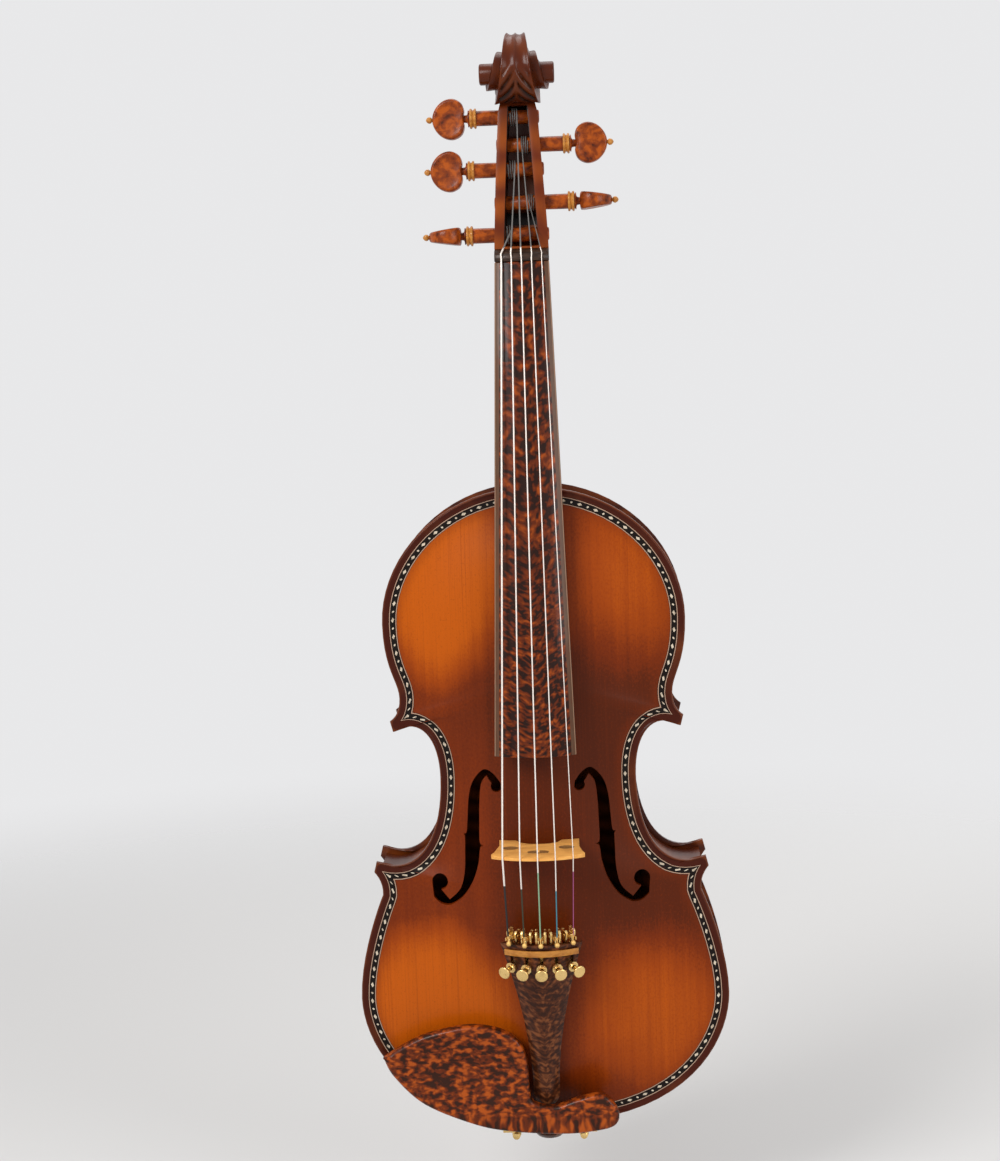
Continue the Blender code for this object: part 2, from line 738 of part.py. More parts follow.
def make_ribs():
    """Bend the ribs: one round the lower bouts, one at each waist and upper bout."""
    sides = rib_sides()
    outer, inner = sides["lower"]
    around = list(reversed(outer)) + [(-x, h) for x, h in outer[1:]]
    back = [(-x, h) for x, h in reversed(inner)] + inner[1:]
    lower = solid("lower_rib", upright_prism(around + back), VARNISHED_MAPLE)
    hole = lathe(((-0.010, BUTTON_SHAFT_RADIUS + GAP), (0.030, BUTTON_SHAFT_RADIUS + GAP)), 16)
    shape = bmesh.new()
    cap_lathe(shape, hole)
    cut(lower, solid("button_hole", shape, None, (0.0, button_depth(), 0.0)))
    for side, word in ((-1, "bass"), (1, "treble")):
        for part in ("waist", "upper"):
            outer, inner = sides[part]
            if part == "upper":
                outer = clear_of_middle(outer)
                inner = clear_of_middle(inner)
            outline = outer + list(reversed(inner))
            rib = solid(part + "_rib_" + word, upright_prism(outline, side), VARNISHED_MAPLE)
            if part == "upper":
                cut(rib, bpy.data.objects["neck_mortise"])


def clear_of_middle(line):
    """Start an upper rib line a little off the middle, inside the mortise."""
    return [(HEEL_BACK_WIDTH / 2 - 0.002, line[0][1])] + [p for p in line if p[0] > 0.0105]


def cap_lathe(target, shape):
    """Move a turned shape into target and close its open ends."""
    data = bpy.data.meshes.new("turned")
    shape.to_mesh(data)
    shape.free()
    target.from_mesh(data)
    bpy.data.meshes.remove(data)
    bmesh.ops.holes_fill(target, edges=target.edges, sides=0)


def turned(profile, sides, axis="z"):
    """Turn a profile and close its flat ends."""
    shape = bmesh.new()
    cap_lathe(shape, lathe(profile, sides, axis))
    return shape


def button_depth():
    """Return the depth of the end button's axis, the middle of the ribs."""
    return GAP + RIB_HEIGHT / 2


def make_blocks():
    """Neck block, end block and the four corner blocks inside the ribs."""
    inner = OVERHANG + RIB_THICKNESS + GAP
    edge = until(offset_line(span_line("bottom"), inner), END_BLOCK_WIDTH / 2)
    top = edge[0][1] + END_BLOCK_DEPTH
    outline = [(-x, h) for x, h in reversed(edge)] + edge[1:]
    outline += [(END_BLOCK_WIDTH / 2, top), (-END_BLOCK_WIDTH / 2, top)]
    end_block = solid("end_block", upright_prism(outline), PLAIN_SPRUCE)
    cut(end_block, bpy.data.objects["button_hole"])

    edge = until(offset_line(list(reversed(span_line("top"))), -inner), NECK_BLOCK_WIDTH / 2)
    low = edge[0][1] - NECK_BLOCK_DEPTH
    outline = [(-x, h) for x, h in reversed(edge)] + edge[1:]
    outline += [(NECK_BLOCK_WIDTH / 2, low), (-NECK_BLOCK_WIDTH / 2, low)]
    neck_block = solid("neck_block", upright_prism(outline), PLAIN_SPRUCE)
    cut(neck_block, bpy.data.objects["neck_mortise"])

    for name, bout, bout_way, waist, waist_way in (
            ("lower", span_line("lower", "lower_flare"), 1,
             list(reversed(span_line("waist_low"))), -1),
            ("upper", list(reversed(span_line("upper_flare", "upper"))), -1,
             span_line("waist_high"), 1)):
        bout_line = stretch(offset_line(bout, bout_way * inner), 0.004)
        waist_line = stretch(offset_line(waist, waist_way * inner), 0.004)
        bout_side = trim_at(bout_line, waist_line)
        waist_side = trim_at(waist_line, bout_line)
        outline = tail_of(bout_side, CORNER_BLOCK_LENGTH)
        outline += list(reversed(tail_of(waist_side, CORNER_BLOCK_LENGTH)))[1:]
        for side, word in ((-1, "bass"), (1, "treble")):
            solid(name + "_corner_block_" + word, upright_prism(outline, side), PLAIN_SPRUCE)


def tail_of(line, length):
    """Return the last stretch of a line, of the given length."""
    points = [Vector(p) for p in line]
    kept = [points[-1]]
    for before, after in zip(reversed(points[:-1]), reversed(points[1:])):
        step = (after - before).length
        if step >= length:
            kept.append(after + (before - after) * (length / step))
            break
        length -= step
        kept.append(before)
    return [tuple(p) for p in reversed(kept)]


def make_bass_bar(front_tree):
    """Fit the bass bar under the front plate, deepest at the bridge."""
    sections = []
    count = 18
    low = BRIDGE_HEIGHT - 0.47 * BASS_BAR_LENGTH
    for k in range(count + 1):
        height = low + BASS_BAR_LENGTH * k / count
        across = (BASS_BAR_OFFSET - BASS_BAR_WIDTH / 2, BASS_BAR_OFFSET + BASS_BAR_WIDTH / 2)
        tops = [read_depth(front_tree, -x, height, 0.010, -1.0) + 2 * GAP for x in across]
        reach = (2 * k / count - 1) ** 2
        depth = 0.0035 + (BASS_BAR_DEPTH - 0.0035) * (1 - reach)
        floor = min(tops) + depth
        sections.append([(-across[0], tops[0], height), (-across[1], tops[1], height),
                         (-across[1], floor, height), (-across[0], floor, height)])
    solid("bass_bar", loft(sections), PLAIN_SPRUCE)


def make_sound_post(front_tree, back_tree):
    """Stand the sound post between the plates, below the treble foot."""
    height = BRIDGE_HEIGHT - POST_BELOW_BRIDGE
    radius = POST_DIAMETER / 2
    sides = 12
    front_ring = []
    back_ring = []
    for k in range(sides):
        angle = 2 * math.pi * k / sides
        x = POST_OFFSET + radius * math.cos(angle)
        h = height + radius * math.sin(angle)
        front_ring.append((x, read_depth(front_tree, x, h, 0.010, -1.0) + GAP, h))
        back_ring.append((x, read_depth(back_tree, x, h, 0.010, 1.0) - GAP, h))
    solid("sound_post", loft([front_ring, back_ring]), PLAIN_SPRUCE)


# Neck, pegbox and scroll

def neck_plane(height):
    """Return y of the face of the neck that the fingerboard is glued to."""
    return NECK_PLANE_AT_NUT - NECK_TILT * (BOARD_TOP - height)


def board_half_width(height):
    """Return the half width of the fingerboard."""
    share = (BOARD_TOP - height) / FINGERBOARD_LENGTH
    return 0.5 * (NUT_WIDTH + (FINGERBOARD_END_WIDTH - NUT_WIDTH) * share)


def neck_section(height, half_width, front, back, back_share, squareness, clearance=0.0):
    """Return one section of the neck: flat in front, rounded or square behind."""
    points = []
    count = 12
    for k in range(count + 1):
        angle = math.pi * k / count
        across = math.copysign(abs(math.cos(angle)) ** squareness, math.cos(angle))
        down = abs(math.sin(angle)) ** squareness
        if k in (0, count):
            down = 0.0
        narrow = 1.0 - (1.0 - back_share) * down
        reach = clearance * down
        points.append((across * (half_width * narrow + clearance),
                       front - clearance + (back - front + clearance) * down + reach, height))
    return points


def heel_section(height, back, squareness, clearance=0.0):
    """Return a section of the heel, wide in front and narrow at the button."""
    share = HEEL_BACK_WIDTH / HEEL_FRONT_WIDTH
    return neck_section(height, HEEL_FRONT_WIDTH / 2, neck_plane(height), back, share,
                        squareness, clearance)


def mortise_cutter():
    """The space for the root of the neck in plate, ribs and block."""
    foot = BODY_LENGTH - MORTISE_DEPTH
    back = GAP + RIB_HEIGHT
    sections = [heel_section(foot - GAP, back + 0.001, 0.5, GAP),
                heel_section(BODY_LENGTH + 0.006, back + 0.001, 0.5, GAP)]
    return solid("neck_mortise", loft(sections), None)


def pegbox_front(height):
    """Return y of the front edges of the pegbox."""
    return 0.0026 + 0.062 * (height - PEGBOX_START)


def pegbox_half_width(height):
    """Return the half width of the pegbox."""
    share = (height - PEGBOX_START) / PEGBOX_LENGTH
    return 0.5 * (NUT_WIDTH + (PEGBOX_TOP_WIDTH - NUT_WIDTH) * share ** 1.25)


def make_neck():
    """Carve neck, pegbox and scroll from one piece, and cut cavity and peg holes."""
    start = PEGBOX_START
    top = PEGBOX_START + PEGBOX_LENGTH
    heel_top = BODY_LENGTH + HEEL_START
    back_face = GAP + RIB_HEIGHT - GAP
    sections = [
        heel_section(BODY_LENGTH - MORTISE_DEPTH, back_face, 0.5),
        heel_section(BODY_LENGTH + 0.0118, back_face, 0.5),
        heel_section(BODY_LENGTH + 0.0128, 0.70 * back_face, 0.55),
        heel_section(BODY_LENGTH + 0.0148, 0.45 * back_face, 0.62),
        heel_section(BODY_LENGTH + 0.0185, 0.27 * back_face, 0.72),
    ]
    for height, gain in ((heel_top, 1.0), (0.5 * (heel_top + BOARD_TOP), 0.5),
                         (BOARD_TOP, 0.0)):
        plane = neck_plane(height)
        sections.append(neck_section(height, board_half_width(height) - 0.0002, plane,
                                     plane + NECK_DEPTH + gain * NECK_DEPTH_GAIN, 1.0, 0.85))
    plane = neck_plane(start)
    sections += [
        neck_section(start, NUT_WIDTH / 2, plane, plane + 0.0125, 1.0, 0.75),
        neck_section(start + 0.0002, NUT_WIDTH / 2, pegbox_front(start), plane + 0.0126,
                     1.0, 0.75),
        neck_section(start + 0.0050, pegbox_half_width(start + 0.0050),
                     pegbox_front(start + 0.0050), 0.0240, 0.97, 0.40),
        neck_section(start + 0.0160, pegbox_half_width(start + 0.0160),
                     pegbox_front(start + 0.0160), 0.96 * PEGBOX_BACK, 0.95, 0.34),
        neck_section(start + 0.0360, pegbox_half_width(start + 0.0360),
                     pegbox_front(start + 0.0360), PEGBOX_BACK, 0.93, 0.34),
        neck_section(top, pegbox_half_width(top), pegbox_front(top),
                     0.94 * PEGBOX_BACK, 0.90, 0.34),
        neck_section(top + 0.0090, 0.80 * pegbox_half_width(top), EYE_DEPTH,
                     0.97 * PEGBOX_BACK, 0.92, 0.34),
        neck_section(EYE_HEIGHT, 0.62 * pegbox_half_width(top), EYE_DEPTH + 0.002,
                     EYE_DEPTH + 0.96 * SCROLL_RADIUS, 0.96, 0.34),
    ]
    neck = solid("neck_and_scroll", loft(sections), VARNISHED_MAPLE)
    for turn in scroll_turns():
        fuse(neck, turn)
    cut(neck, pegbox_cavity())
    for key in PEG_LAYOUT:
        height, side, _ = peg_place(key)
        wall = pegbox_half_width(height)
        near = side * (wall + 0.004)
        far = -side * (wall + 0.004)
        shape = turned(((far, PEG_TIP_RADIUS + GAP), (near, PEG_RADIUS + GAP)), 16, "x")
        hole = solid("peg_hole_" + key, shape, None, (0.0, peg_depth(height), height))
        cut(neck, hole)


def pegbox_cavity():
    """The open trough between the cheeks of the pegbox."""
    start = PEGBOX_START + 0.0014
    end = EYE_HEIGHT - scroll_radius(180.0) - 0.0006
    rows = ((start, 0.0150), (start + 0.0050, 0.0215), (start + 0.0360, 0.0265), (end, 0.0235))
    sections = []
    for height, floor in rows:
        half = pegbox_half_width(height) - PEGBOX_WALL
        front = pegbox_front(height) - 0.012
        sections.append([(-half, front, height), (half, front, height),
                         (0.92 * half, floor, height), (-0.92 * half, floor, height)])
    return solid("pegbox_cavity", loft(sections), None)


def scroll_radius(angle):
    """Return the spiral's radius; the angle runs in degrees from the top, forwards."""
    return SCROLL_RADIUS * SCROLL_SHRINK ** (max(0.0, angle) / 360.0)


def blend_table(angle, table):
    """Read a value from (angle, value) pairs by straight lines."""
    for (a0, v0), (a1, v1) in zip(table, table[1:]):
        if angle <= a1:
            return v0 + (v1 - v0) * max(0.0, (angle - a0) / (a1 - a0))
    return table[-1][1]


def scroll_turns():
    """Return the two turns and the eye of the scroll as solids to join."""
    chin = CHIN_WIDTH / 2
    second = SECOND_TURN_WIDTH / 2
    widths = ((-100.0, 0.0072), (0.0, SCROLL_TOP_WIDTH / 2), (90.0, 0.0078), (180.0, chin),
              (260.0, 0.0118), (360.0, 0.0100), (450.0, 0.0130), (540.0, second),
              (620.0, second + 0.0010))
    turns = []
    for name, first, last, core, inset in (("first_turn", -100.0, 260.0, 0.0112, 1.0),
                                           ("second_turn", 247.0, 607.0, 0.0160, 0.985)):
        turns.append(spiral_disc(name, first, last, widths, core, inset))
    eye = turned(((-EYES_WIDTH / 2, 0.82 * EYE_RADIUS), (-EYES_WIDTH / 2 + 0.0008, EYE_RADIUS),
                  (EYES_WIDTH / 2 - 0.0008, EYE_RADIUS), (EYES_WIDTH / 2, 0.82 * EYE_RADIUS)),
                 14, "x")
    turns.append(solid("scroll_eye", eye, None, (0.0, EYE_DEPTH, EYE_HEIGHT)))
    return turns


def spiral_disc(name, first, last, widths, core, inset):
    """One turn of the scroll: a disc whose rim follows the spiral in radius and width.

    The inset keeps a turn's buried start just inside the turn around it.
    """
    shape = bmesh.new()
    steps = 20

    def rim(angle, radius, half, side):
        turn = math.radians(angle)
        return shape.verts.new((side * half, -radius * math.sin(turn),
                                radius * math.cos(turn)))

    centre = {side: shape.verts.new((side * core, 0.0, 0.0)) for side in (-1, 1)}
    rims = {-1: [], 1: []}
    for k in range(steps + 1):
        angle = first + (last - first) * k / steps
        for side in (-1, 1):
            rims[side].append(rim(angle, inset * scroll_radius(angle),
                                  blend_table(angle, widths), side))
    inner = inset * scroll_radius(last)
    share = inner / (inset * scroll_radius(first))
    half = core + (blend_table(first, widths) - core) * share
    shelf = {side: rim(first, inner, half, side) for side in (-1, 1)}
    for side in (-1, 1):
        ring = rims[side]
        shape.faces.new((centre[side], shelf[side], ring[1]))
        shape.faces.new((shelf[side], ring[0], ring[1]))
        for k in range(1, steps):
            shape.faces.new((centre[side], ring[k], ring[k + 1]))
        shape.faces.new((centre[side], ring[steps], shelf[side]))
    for k in range(steps - 1):
        shape.faces.new((rims[-1][k], rims[-1][k + 1], rims[1][k + 1], rims[1][k]))
    shape.faces.new((shelf[-1], rims[-1][0], rims[1][0], shelf[1]))
    shape.faces.new((rims[-1][steps - 1], rims[-1][steps], shelf[-1], shelf[1],
                     rims[1][steps], rims[1][steps - 1]))
    return solid(name, shape, None, (0.0, EYE_DEPTH, EYE_HEIGHT))


def board_section(height, count=8):
    """Return a section of the fingerboard, arched on top."""
    half = board_half_width(height)
    bottom = neck_plane(height) - GAP
    drop = FINGERBOARD_RADIUS - math.sqrt(FINGERBOARD_RADIUS ** 2 - half ** 2)
    points = [(half, bottom, height), (-half, bottom, height)]
    for k in range(count + 1):
        x = half * (2 * k / count - 1)
        rise = math.sqrt(FINGERBOARD_RADIUS ** 2 - x * x) - FINGERBOARD_RADIUS + drop
        points.append((x, bottom - FINGERBOARD_EDGE - rise, height))
    return points


def board_crown(height, x=0.0):
    """Return y of the playing face of the fingerboard."""
    half = board_half_width(height)
    drop = FINGERBOARD_RADIUS - math.sqrt(FINGERBOARD_RADIUS ** 2 - half ** 2)
    rise = math.sqrt(FINGERBOARD_RADIUS ** 2 - x * x) - FINGERBOARD_RADIUS + drop
    return neck_plane(height) - GAP - FINGERBOARD_EDGE - rise


def make_fingerboard():
    """Plane the fingerboard: it widens and stays arched from nut to end."""
    heights = [FINGERBOARD_LOW + FINGERBOARD_LENGTH * k / 4 for k in range(5)]
    solid("fingerboard", loft([board_section(height) for height in heights]), SNAKEWOOD)


def nut_crown(x):
    """Return y of the nut's top at its highest line."""
    return board_crown(BOARD_TOP, x) - NUT_RISE


def make_nut():
    """Shape the nut: arched like the board, falling away towards the pegbox."""
    low = BOARD_TOP + GAP
    high = low + NUT_LENGTH - GAP
    sections = []
    count = 8
    half = NUT_WIDTH / 2
    for k in range(count + 1):
        x = half * (2 * k / count - 1)
        top = nut_crown(x)
        sections.append([(x, neck_plane(low) - GAP, low), (x, top + 0.0005, low),
                         (x, top, low + 0.0016), (x, top + 0.0008, low + 0.0040),
                         (x, top + 0.0042, high), (x, neck_plane(high) - GAP, high)])
    solid("nut", loft(sections), EBONY)


# Pegs and strings

def peg_depth(height):
    """Return y of a peg's axis."""
    return pegbox_front(height) + PEG_BEHIND_EDGE


def peg_place(key):
    """Return a peg's height, its side and its turn about its axis."""
    above, side, turn = PEG_LAYOUT[key]
    return PEGBOX_START + above, side, turn


def shaft_radius(height, along):
    """Return the shaft's radius at a distance from the middle, positive to the head."""
    wall = pegbox_half_width(height) + 0.004
    share = (along + wall) / (2 * wall)
    return PEG_TIP_RADIUS + (PEG_RADIUS - PEG_TIP_RADIUS) * min(1.0, max(0.0, share))


def heart_outline():
    """Return a peg head's outline: distance out of the stem, width across."""
    half = PEG_HEAD_WIDTH / 2
    length = PEG_HEAD_LENGTH
    upper = [(0.05 * length, 0.0), (0.02 * length, 0.42 * half), (0.12 * length, 0.80 * half),
             (0.38 * length, half), (0.68 * length, 0.88 * half), (0.91 * length, 0.50 * half),
             (length, 0.0)]
    lower = [(a, -b) for a, b in reversed(upper[1:-1])]
    return upper + lower


def make_peg(key):
    """Turn a peg: tapered shaft, stem, heart-shaped head and pip; its collar is apart."""
    height, side, twist = peg_place(key)
    wall = pegbox_half_width(height)
    seat = wall + COLLAR_DISTANCE
    stem = seat + COLLAR_WIDTH + GAP
    head = stem + PEG_NECK_LENGTH
    tip = head + PEG_HEAD_LENGTH
    pip = PEG_PIP_RADIUS
    far = -(wall + 0.0006)
    profile = [
        (far, 0.85 * PEG_TIP_RADIUS), (far + 0.0005, shaft_radius(height, far)),
        (wall + 0.004, PEG_RADIUS), (stem, PEG_RADIUS), (stem, PEG_RADIUS + 0.0005),
        (stem + 0.0007, PEG_RADIUS + 0.0002), (stem + 0.0010, 0.0021),
        (head + 0.0020, 0.0018), (tip - 0.0006, 0.0010), (tip + 0.2 * pip, 0.8 * pip),
        (tip + 0.8 * pip, pip), (tip + 1.5 * pip, 0.75 * pip), (tip + 1.9 * pip, 0.0),
    ]
    profile = [(side * a, r) for a, r in profile]
    location = (0.0, peg_depth(height), height)
    shape = turned(profile, 12, "x")
    turn = Matrix.Rotation(math.radians(twist), 4, "X")
    peg = solid("peg_" + key, shape, SNAKEWOOD, location, turn)
    levels = ((-0.50, 0.66), (-0.36, 0.93), (0.0, 1.0), (0.36, 0.93), (0.50, 0.66))
    centre = 0.5 * PEG_HEAD_LENGTH
    sections = []
    for level, scale in levels:
        section = []
        for out, across in heart_outline():
            reach = centre + (out - centre) * scale
            thick = PEG_HEAD_THICKNESS * (1 - (1 - PEG_HEAD_TIP_SHARE)
                                          * reach / PEG_HEAD_LENGTH)
            section.append((side * (head + reach), thick * level, across * scale))
        sections.append(section)
    fuse(peg, solid("peg_head_" + key, loft(sections), None, location, turn))

    bore = PEG_RADIUS + GAP
    rim = [(seat, bore), (seat, COLLAR_RADIUS - 0.0004), (seat + 0.0005, COLLAR_RADIUS),
           (seat + COLLAR_WIDTH - 0.0005, COLLAR_RADIUS),
           (seat + COLLAR_WIDTH, COLLAR_RADIUS - 0.0004), (seat + COLLAR_WIDTH, bore)]
    ring = ring_shape([(side * a, r) for a, r in rim], 12)
    solid("peg_collar_" + key, ring, BOXWOOD, location)


def ring_shape(profile, sides, axis="x"):
    """Turn a closed profile into a ring."""
    shape = lathe(profile + [profile[0]], sides, axis)
    bmesh.ops.remove_doubles(shape, verts=shape.verts, dist=1e-7)
    return shape


def bridge_crown(x):
    """Return y of the bridge's top edge."""
    plate = -FRONT_ARCH
    sag = BRIDGE_RADIUS - math.sqrt(BRIDGE_RADIUS ** 2 - x * x)
    return plate - BRIDGE_CROWN + sag


def tuner_frame_of(index):
    """Return the matrix of a tuner's own axes: u across, t along, n out of the tailpiece."""
    x = TUNER_SPACING * (index - (TUNER_COUNT - 1) / 2)
    half = tailpiece_half_width(TUNER_HEIGHT)
    drop = tailpiece_drop(TUNER_HEIGHT)
    fan = math.atan(2 * drop * x / half ** 2)
    y = tailpiece_crown(TUNER_HEIGHT) + drop * (x / half) ** 2
    tilt = math.radians(TAILPIECE_TILT)
    along = Vector((0.0, -math.sin(tilt), math.cos(tilt)))
    across = Vector((1.0, 0.0, 0.0))
    across.rotate(Matrix.Rotation(fan, 3, along))
    out = across.cross(along)
    turn = Matrix((across, along, out)).transposed().to_4x4()
    return Matrix.Translation((x, y, TUNER_HEIGHT)) @ turn


def tuner_point(index, across, along, out):
    """Return a point given in a tuner's own axes."""
    return tuner_frame_of(index) @ Vector((across, along, out))


def winding(key, arrival, x_start, radius):
    """Return the turns round a peg as points, from the arriving angle onwards."""
    height, side, _ = peg_place(key)
    diameter = STRING_DIAMETER[key]
    pitch = diameter + WINDING_GAP
    points = []
    total = STRING_TURNS[key] * TURN_POINTS
    for k in range(total + 1):
        angle = arrival + 2 * math.pi * k / TURN_POINTS
        x = x_start + side * pitch * k / TURN_POINTS
        points.append((x, peg_depth(height) - radius * math.cos(angle),
                       height + radius * math.sin(angle)))
    return points


def winding_gap(key, points):
    """Return the least gap between neighbouring turns, measured on their points."""
    least = 1.0
    for i, p in enumerate(points):
        for q in points[i + TURN_POINTS // 2:]:
            least = min(least, (Vector(p) - Vector(q)).length)
    return least - STRING_DIAMETER[key]


def make_string(index, key):
    """Lay one string from its ball end over bridge and nut, and wind it on its peg."""
    diameter = STRING_DIAMETER[key]
    radius = diameter / 2
    place_in_row = index - (len(STRING_ORDER) - 1) / 2
    bridge_x = BRIDGE_SPACING * place_in_row
    nut_x = NUT_SPACING * place_in_row
    end_gap = TUNER_FROM_END + TUNER_PIVOT_AHEAD - 0.0012
    rise = 0.0026
    ball_front = end_gap - GAP
    stations = (ball_front - 0.0028, ball_front - 0.0026, ball_front - 0.0018,
                ball_front - 0.0006, ball_front - 0.0002)
    shares = (0.35, 0.85, 1.0, 0.75, 0.0)
    points = []
    radii = []
    for station, share in zip(stations, shares):
        points.append(tuple(tuner_point(index, 0.0, station, rise)))
        radii.append(max(1.0, share * BALL_RADIUS / radius))
    points.append(tuple(tuner_point(index, 0.0, end_gap + 0.0030, rise + 0.0004)))
    radii.append(1.0)

    crown = bridge_crown(bridge_x) - GAP - 0.0001 - radius
    start = Vector(points[-1])
    half = BRIDGE_CROWN_THICKNESS / 2 + 0.0002
    over = Vector((bridge_x, crown, BRIDGE_HEIGHT - half))
    for k in range(1, 4):
        points.append(tuple(start.lerp(over, k / 3)))
    beyond = Vector((bridge_x, crown, BRIDGE_HEIGHT + half))
    crest = BOARD_TOP + GAP + 0.0016
    nut_y = nut_crown(nut_x) - GAP - radius
    rest = Vector((nut_x, nut_y, crest))
    points.append(tuple(beyond))
    for k in range(1, 5):
        points.append(tuple(beyond.lerp(rest, k / 4)))

    height, side, _ = peg_place(key)
    leave = Vector((nut_x + 0.0002 * side, nut_y + 0.00025, crest + 0.0024))
    points.append(tuple(leave))
    x_start = WINDING_START[key]
    wound = shaft_radius(height, side * x_start) + GAP + radius
    reach = Vector((peg_depth(height) - leave[1], height - leave[2]))
    distance = reach.length
    bearing = math.atan2(reach[1], reach[0])
    slip = math.asin(wound / distance)
    heading = bearing + slip
    arrival = math.pi / 2 - heading
    turns = winding(key, arrival, x_start, wound)
    touch = Vector(turns[0])
    for share in (0.4, 0.8):
        points.append(tuple(leave.lerp(touch, share)))
    points += turns
    last = Vector(turns[-1])
    along = (last - Vector(turns[-2])).normalized()
    points.append(tuple(last + along * diameter * 1.2))
    radii += [1.0] * (len(points) - len(radii))
    print("winding", key, "least gap to itself %.2f mm" % (1000 * winding_gap(key, turns)))
    tube("string_" + key, points, radius, STEEL, radii)


def tube(name, points, radius, finish, radii=None):
    """Make a round cord through points, with closed ends."""
    data = bpy.data.curves.new(name, "CURVE")
    data.dimensions = "3D"
    data.bevel_depth = radius
    data.bevel_resolution = 1
    data.use_fill_caps = True
    data.twist_mode = "MINIMUM"
    spline = data.splines.new("POLY")
    spline.points.add(len(points) - 1)
    for i, point in enumerate(points):
        spline.points[i].co = (*point, 1.0)
        if radii is not None:
            spline.points[i].radius = radii[i]
    return place(name, data, finish)


def make_bridge(front_tree):
    """Cut the bridge: two feet fitted to the arch, waist, wings and a thin crown."""
    feet = BRIDGE_FEET_WIDTH / 2
    wing = BRIDGE_TOP_WIDTH / 2
    inner = feet - 0.0095
    plate = -FRONT_ARCH

    def sole(x):
        reads = [read_depth(front_tree, x, BRIDGE_HEIGHT + s * BRIDGE_FOOT_THICKNESS / 2,
                            -0.060, 1.0) for s in (-1, 1)]
        return min(reads) - GAP

    sole_points = [(x, sole(x)) for x in (inner, inner + 0.0045, feet)]
    right = [(0.0, plate - 0.0064), (0.0058, plate - 0.0057), (0.0103, plate - 0.0032)]
    right += sole_points
    right += [(feet, sole_points[-1][1] - 0.0018), (feet - 0.0010, plate - 0.0045),
              (feet - 0.0002, plate - 0.0095), (feet + 0.0008, plate - 0.0145),
              (wing - 0.0014, plate - 0.0200), (wing, plate - 0.0240)]
    crown = []
    count = 7
    for k in range(count):
        x = (wing - 0.0004) * (1 - k / count)
        crown.append((x, bridge_crown(x)))
    right += crown
    outline = right + [(0.0, bridge_crown(0.0))]
    outline += [(-x, y) for x, y in reversed(right[1:])]

    def half_thickness(y):
        share = (plate - y) / BRIDGE_CROWN
        return 0.5 * (BRIDGE_FOOT_THICKNESS
                      + (BRIDGE_CROWN_THICKNESS - BRIDGE_FOOT_THICKNESS) * share)

    sections = [[(x, y, BRIDGE_HEIGHT + s * half_thickness(y)) for x, y in outline]
                for s in (-1, 1)]
    bridge = solid("bridge", loft(sections), BRIDGE_MAPLE)
    kidney = arc_points((0.0, 0.0), 1.0, 0.0, 360.0, 10)
    for side in (-1, 1):
        outline = [(side * 0.0152 + 0.0040 * a, plate - 0.0128 + 0.0027 * b) for a, b in kidney]
        shape = prism(outline, BRIDGE_HEIGHT - 0.004, BRIDGE_HEIGHT + 0.004,
                      lambda a, b, level: (a, b, level))
        cut(bridge, solid("bridge_kidney_%d" % (1 + (side > 0)), shape, None))
    heart = [(0.0, -0.0030), (0.0026, -0.0014), (0.0054, 0.0002), (0.0058, 0.0022),
             (0.0030, 0.0026), (0.0, 0.0010)]
    heart += [(-a, b) for a, b in reversed(heart[1:-1])]
    shape = prism([(a, plate - 0.0205 - b) for a, b in heart], BRIDGE_HEIGHT - 0.004,
                  BRIDGE_HEIGHT + 0.004, lambda a, b, level: (a, b, level))
    cut(bridge, solid("bridge_heart", shape, None))


# Tailpiece, saddle, end button and gut

def tailpiece_half_width(height):
    """Return the half width of the tailpiece, narrow and round at its lower end."""
    share = (height - TAILPIECE_LOW) / TAILPIECE_LENGTH
    narrow = TAILPIECE_NARROW / 2
    wide = TAILPIECE_WIDTH / 2
    if share < 0.06:
        return narrow * (0.68 + 0.32 * math.sqrt(share / 0.06))
    flare = max(0.0, (share - 0.12) / 0.88)
    return narrow + (wide - narrow) * flare ** 1.75


def tailpiece_crown(height):
    """Return y of the tailpiece's middle line."""
    tilt = math.tan(math.radians(TAILPIECE_TILT))
    return -TAILPIECE_CROWN + (TAILPIECE_TOP - height) * tilt


def tailpiece_drop(height):
    """Return how far the tailpiece's sides fall behind its middle line."""
    share = (height - TAILPIECE_LOW) / TAILPIECE_LENGTH
    return TAILPIECE_LOW_DROP + (TAILPIECE_DROP - TAILPIECE_LOW_DROP) * share


def tailpiece_section(height):
    """Return a section of the tailpiece, crowned on top and hollow underneath."""
    half = tailpiece_half_width(height)
    share = (height - TAILPIECE_LOW) / TAILPIECE_LENGTH
    thick = TAILPIECE_END_THICKNESS
    thick += (TAILPIECE_THICKNESS - TAILPIECE_END_THICKNESS) * min(1.0, 2.2 * share)
    crown = tailpiece_crown(height)
    drop = tailpiece_drop(height)
    points = []
    for k in range(9):
        x = half * (k / 4 - 1)
        points.append((x, crown + drop * (x / half) ** 2, height))
    hollow = min(1.0, max(0.0, (share - 0.2) / 0.3))
    for k in range(9):
        x = 0.96 * half * (1 - k / 4)
        points.append((x, crown + thick + hollow * drop * (x / half) ** 2
                       + (1 - hollow) * 0.3 * drop, height))
    return points


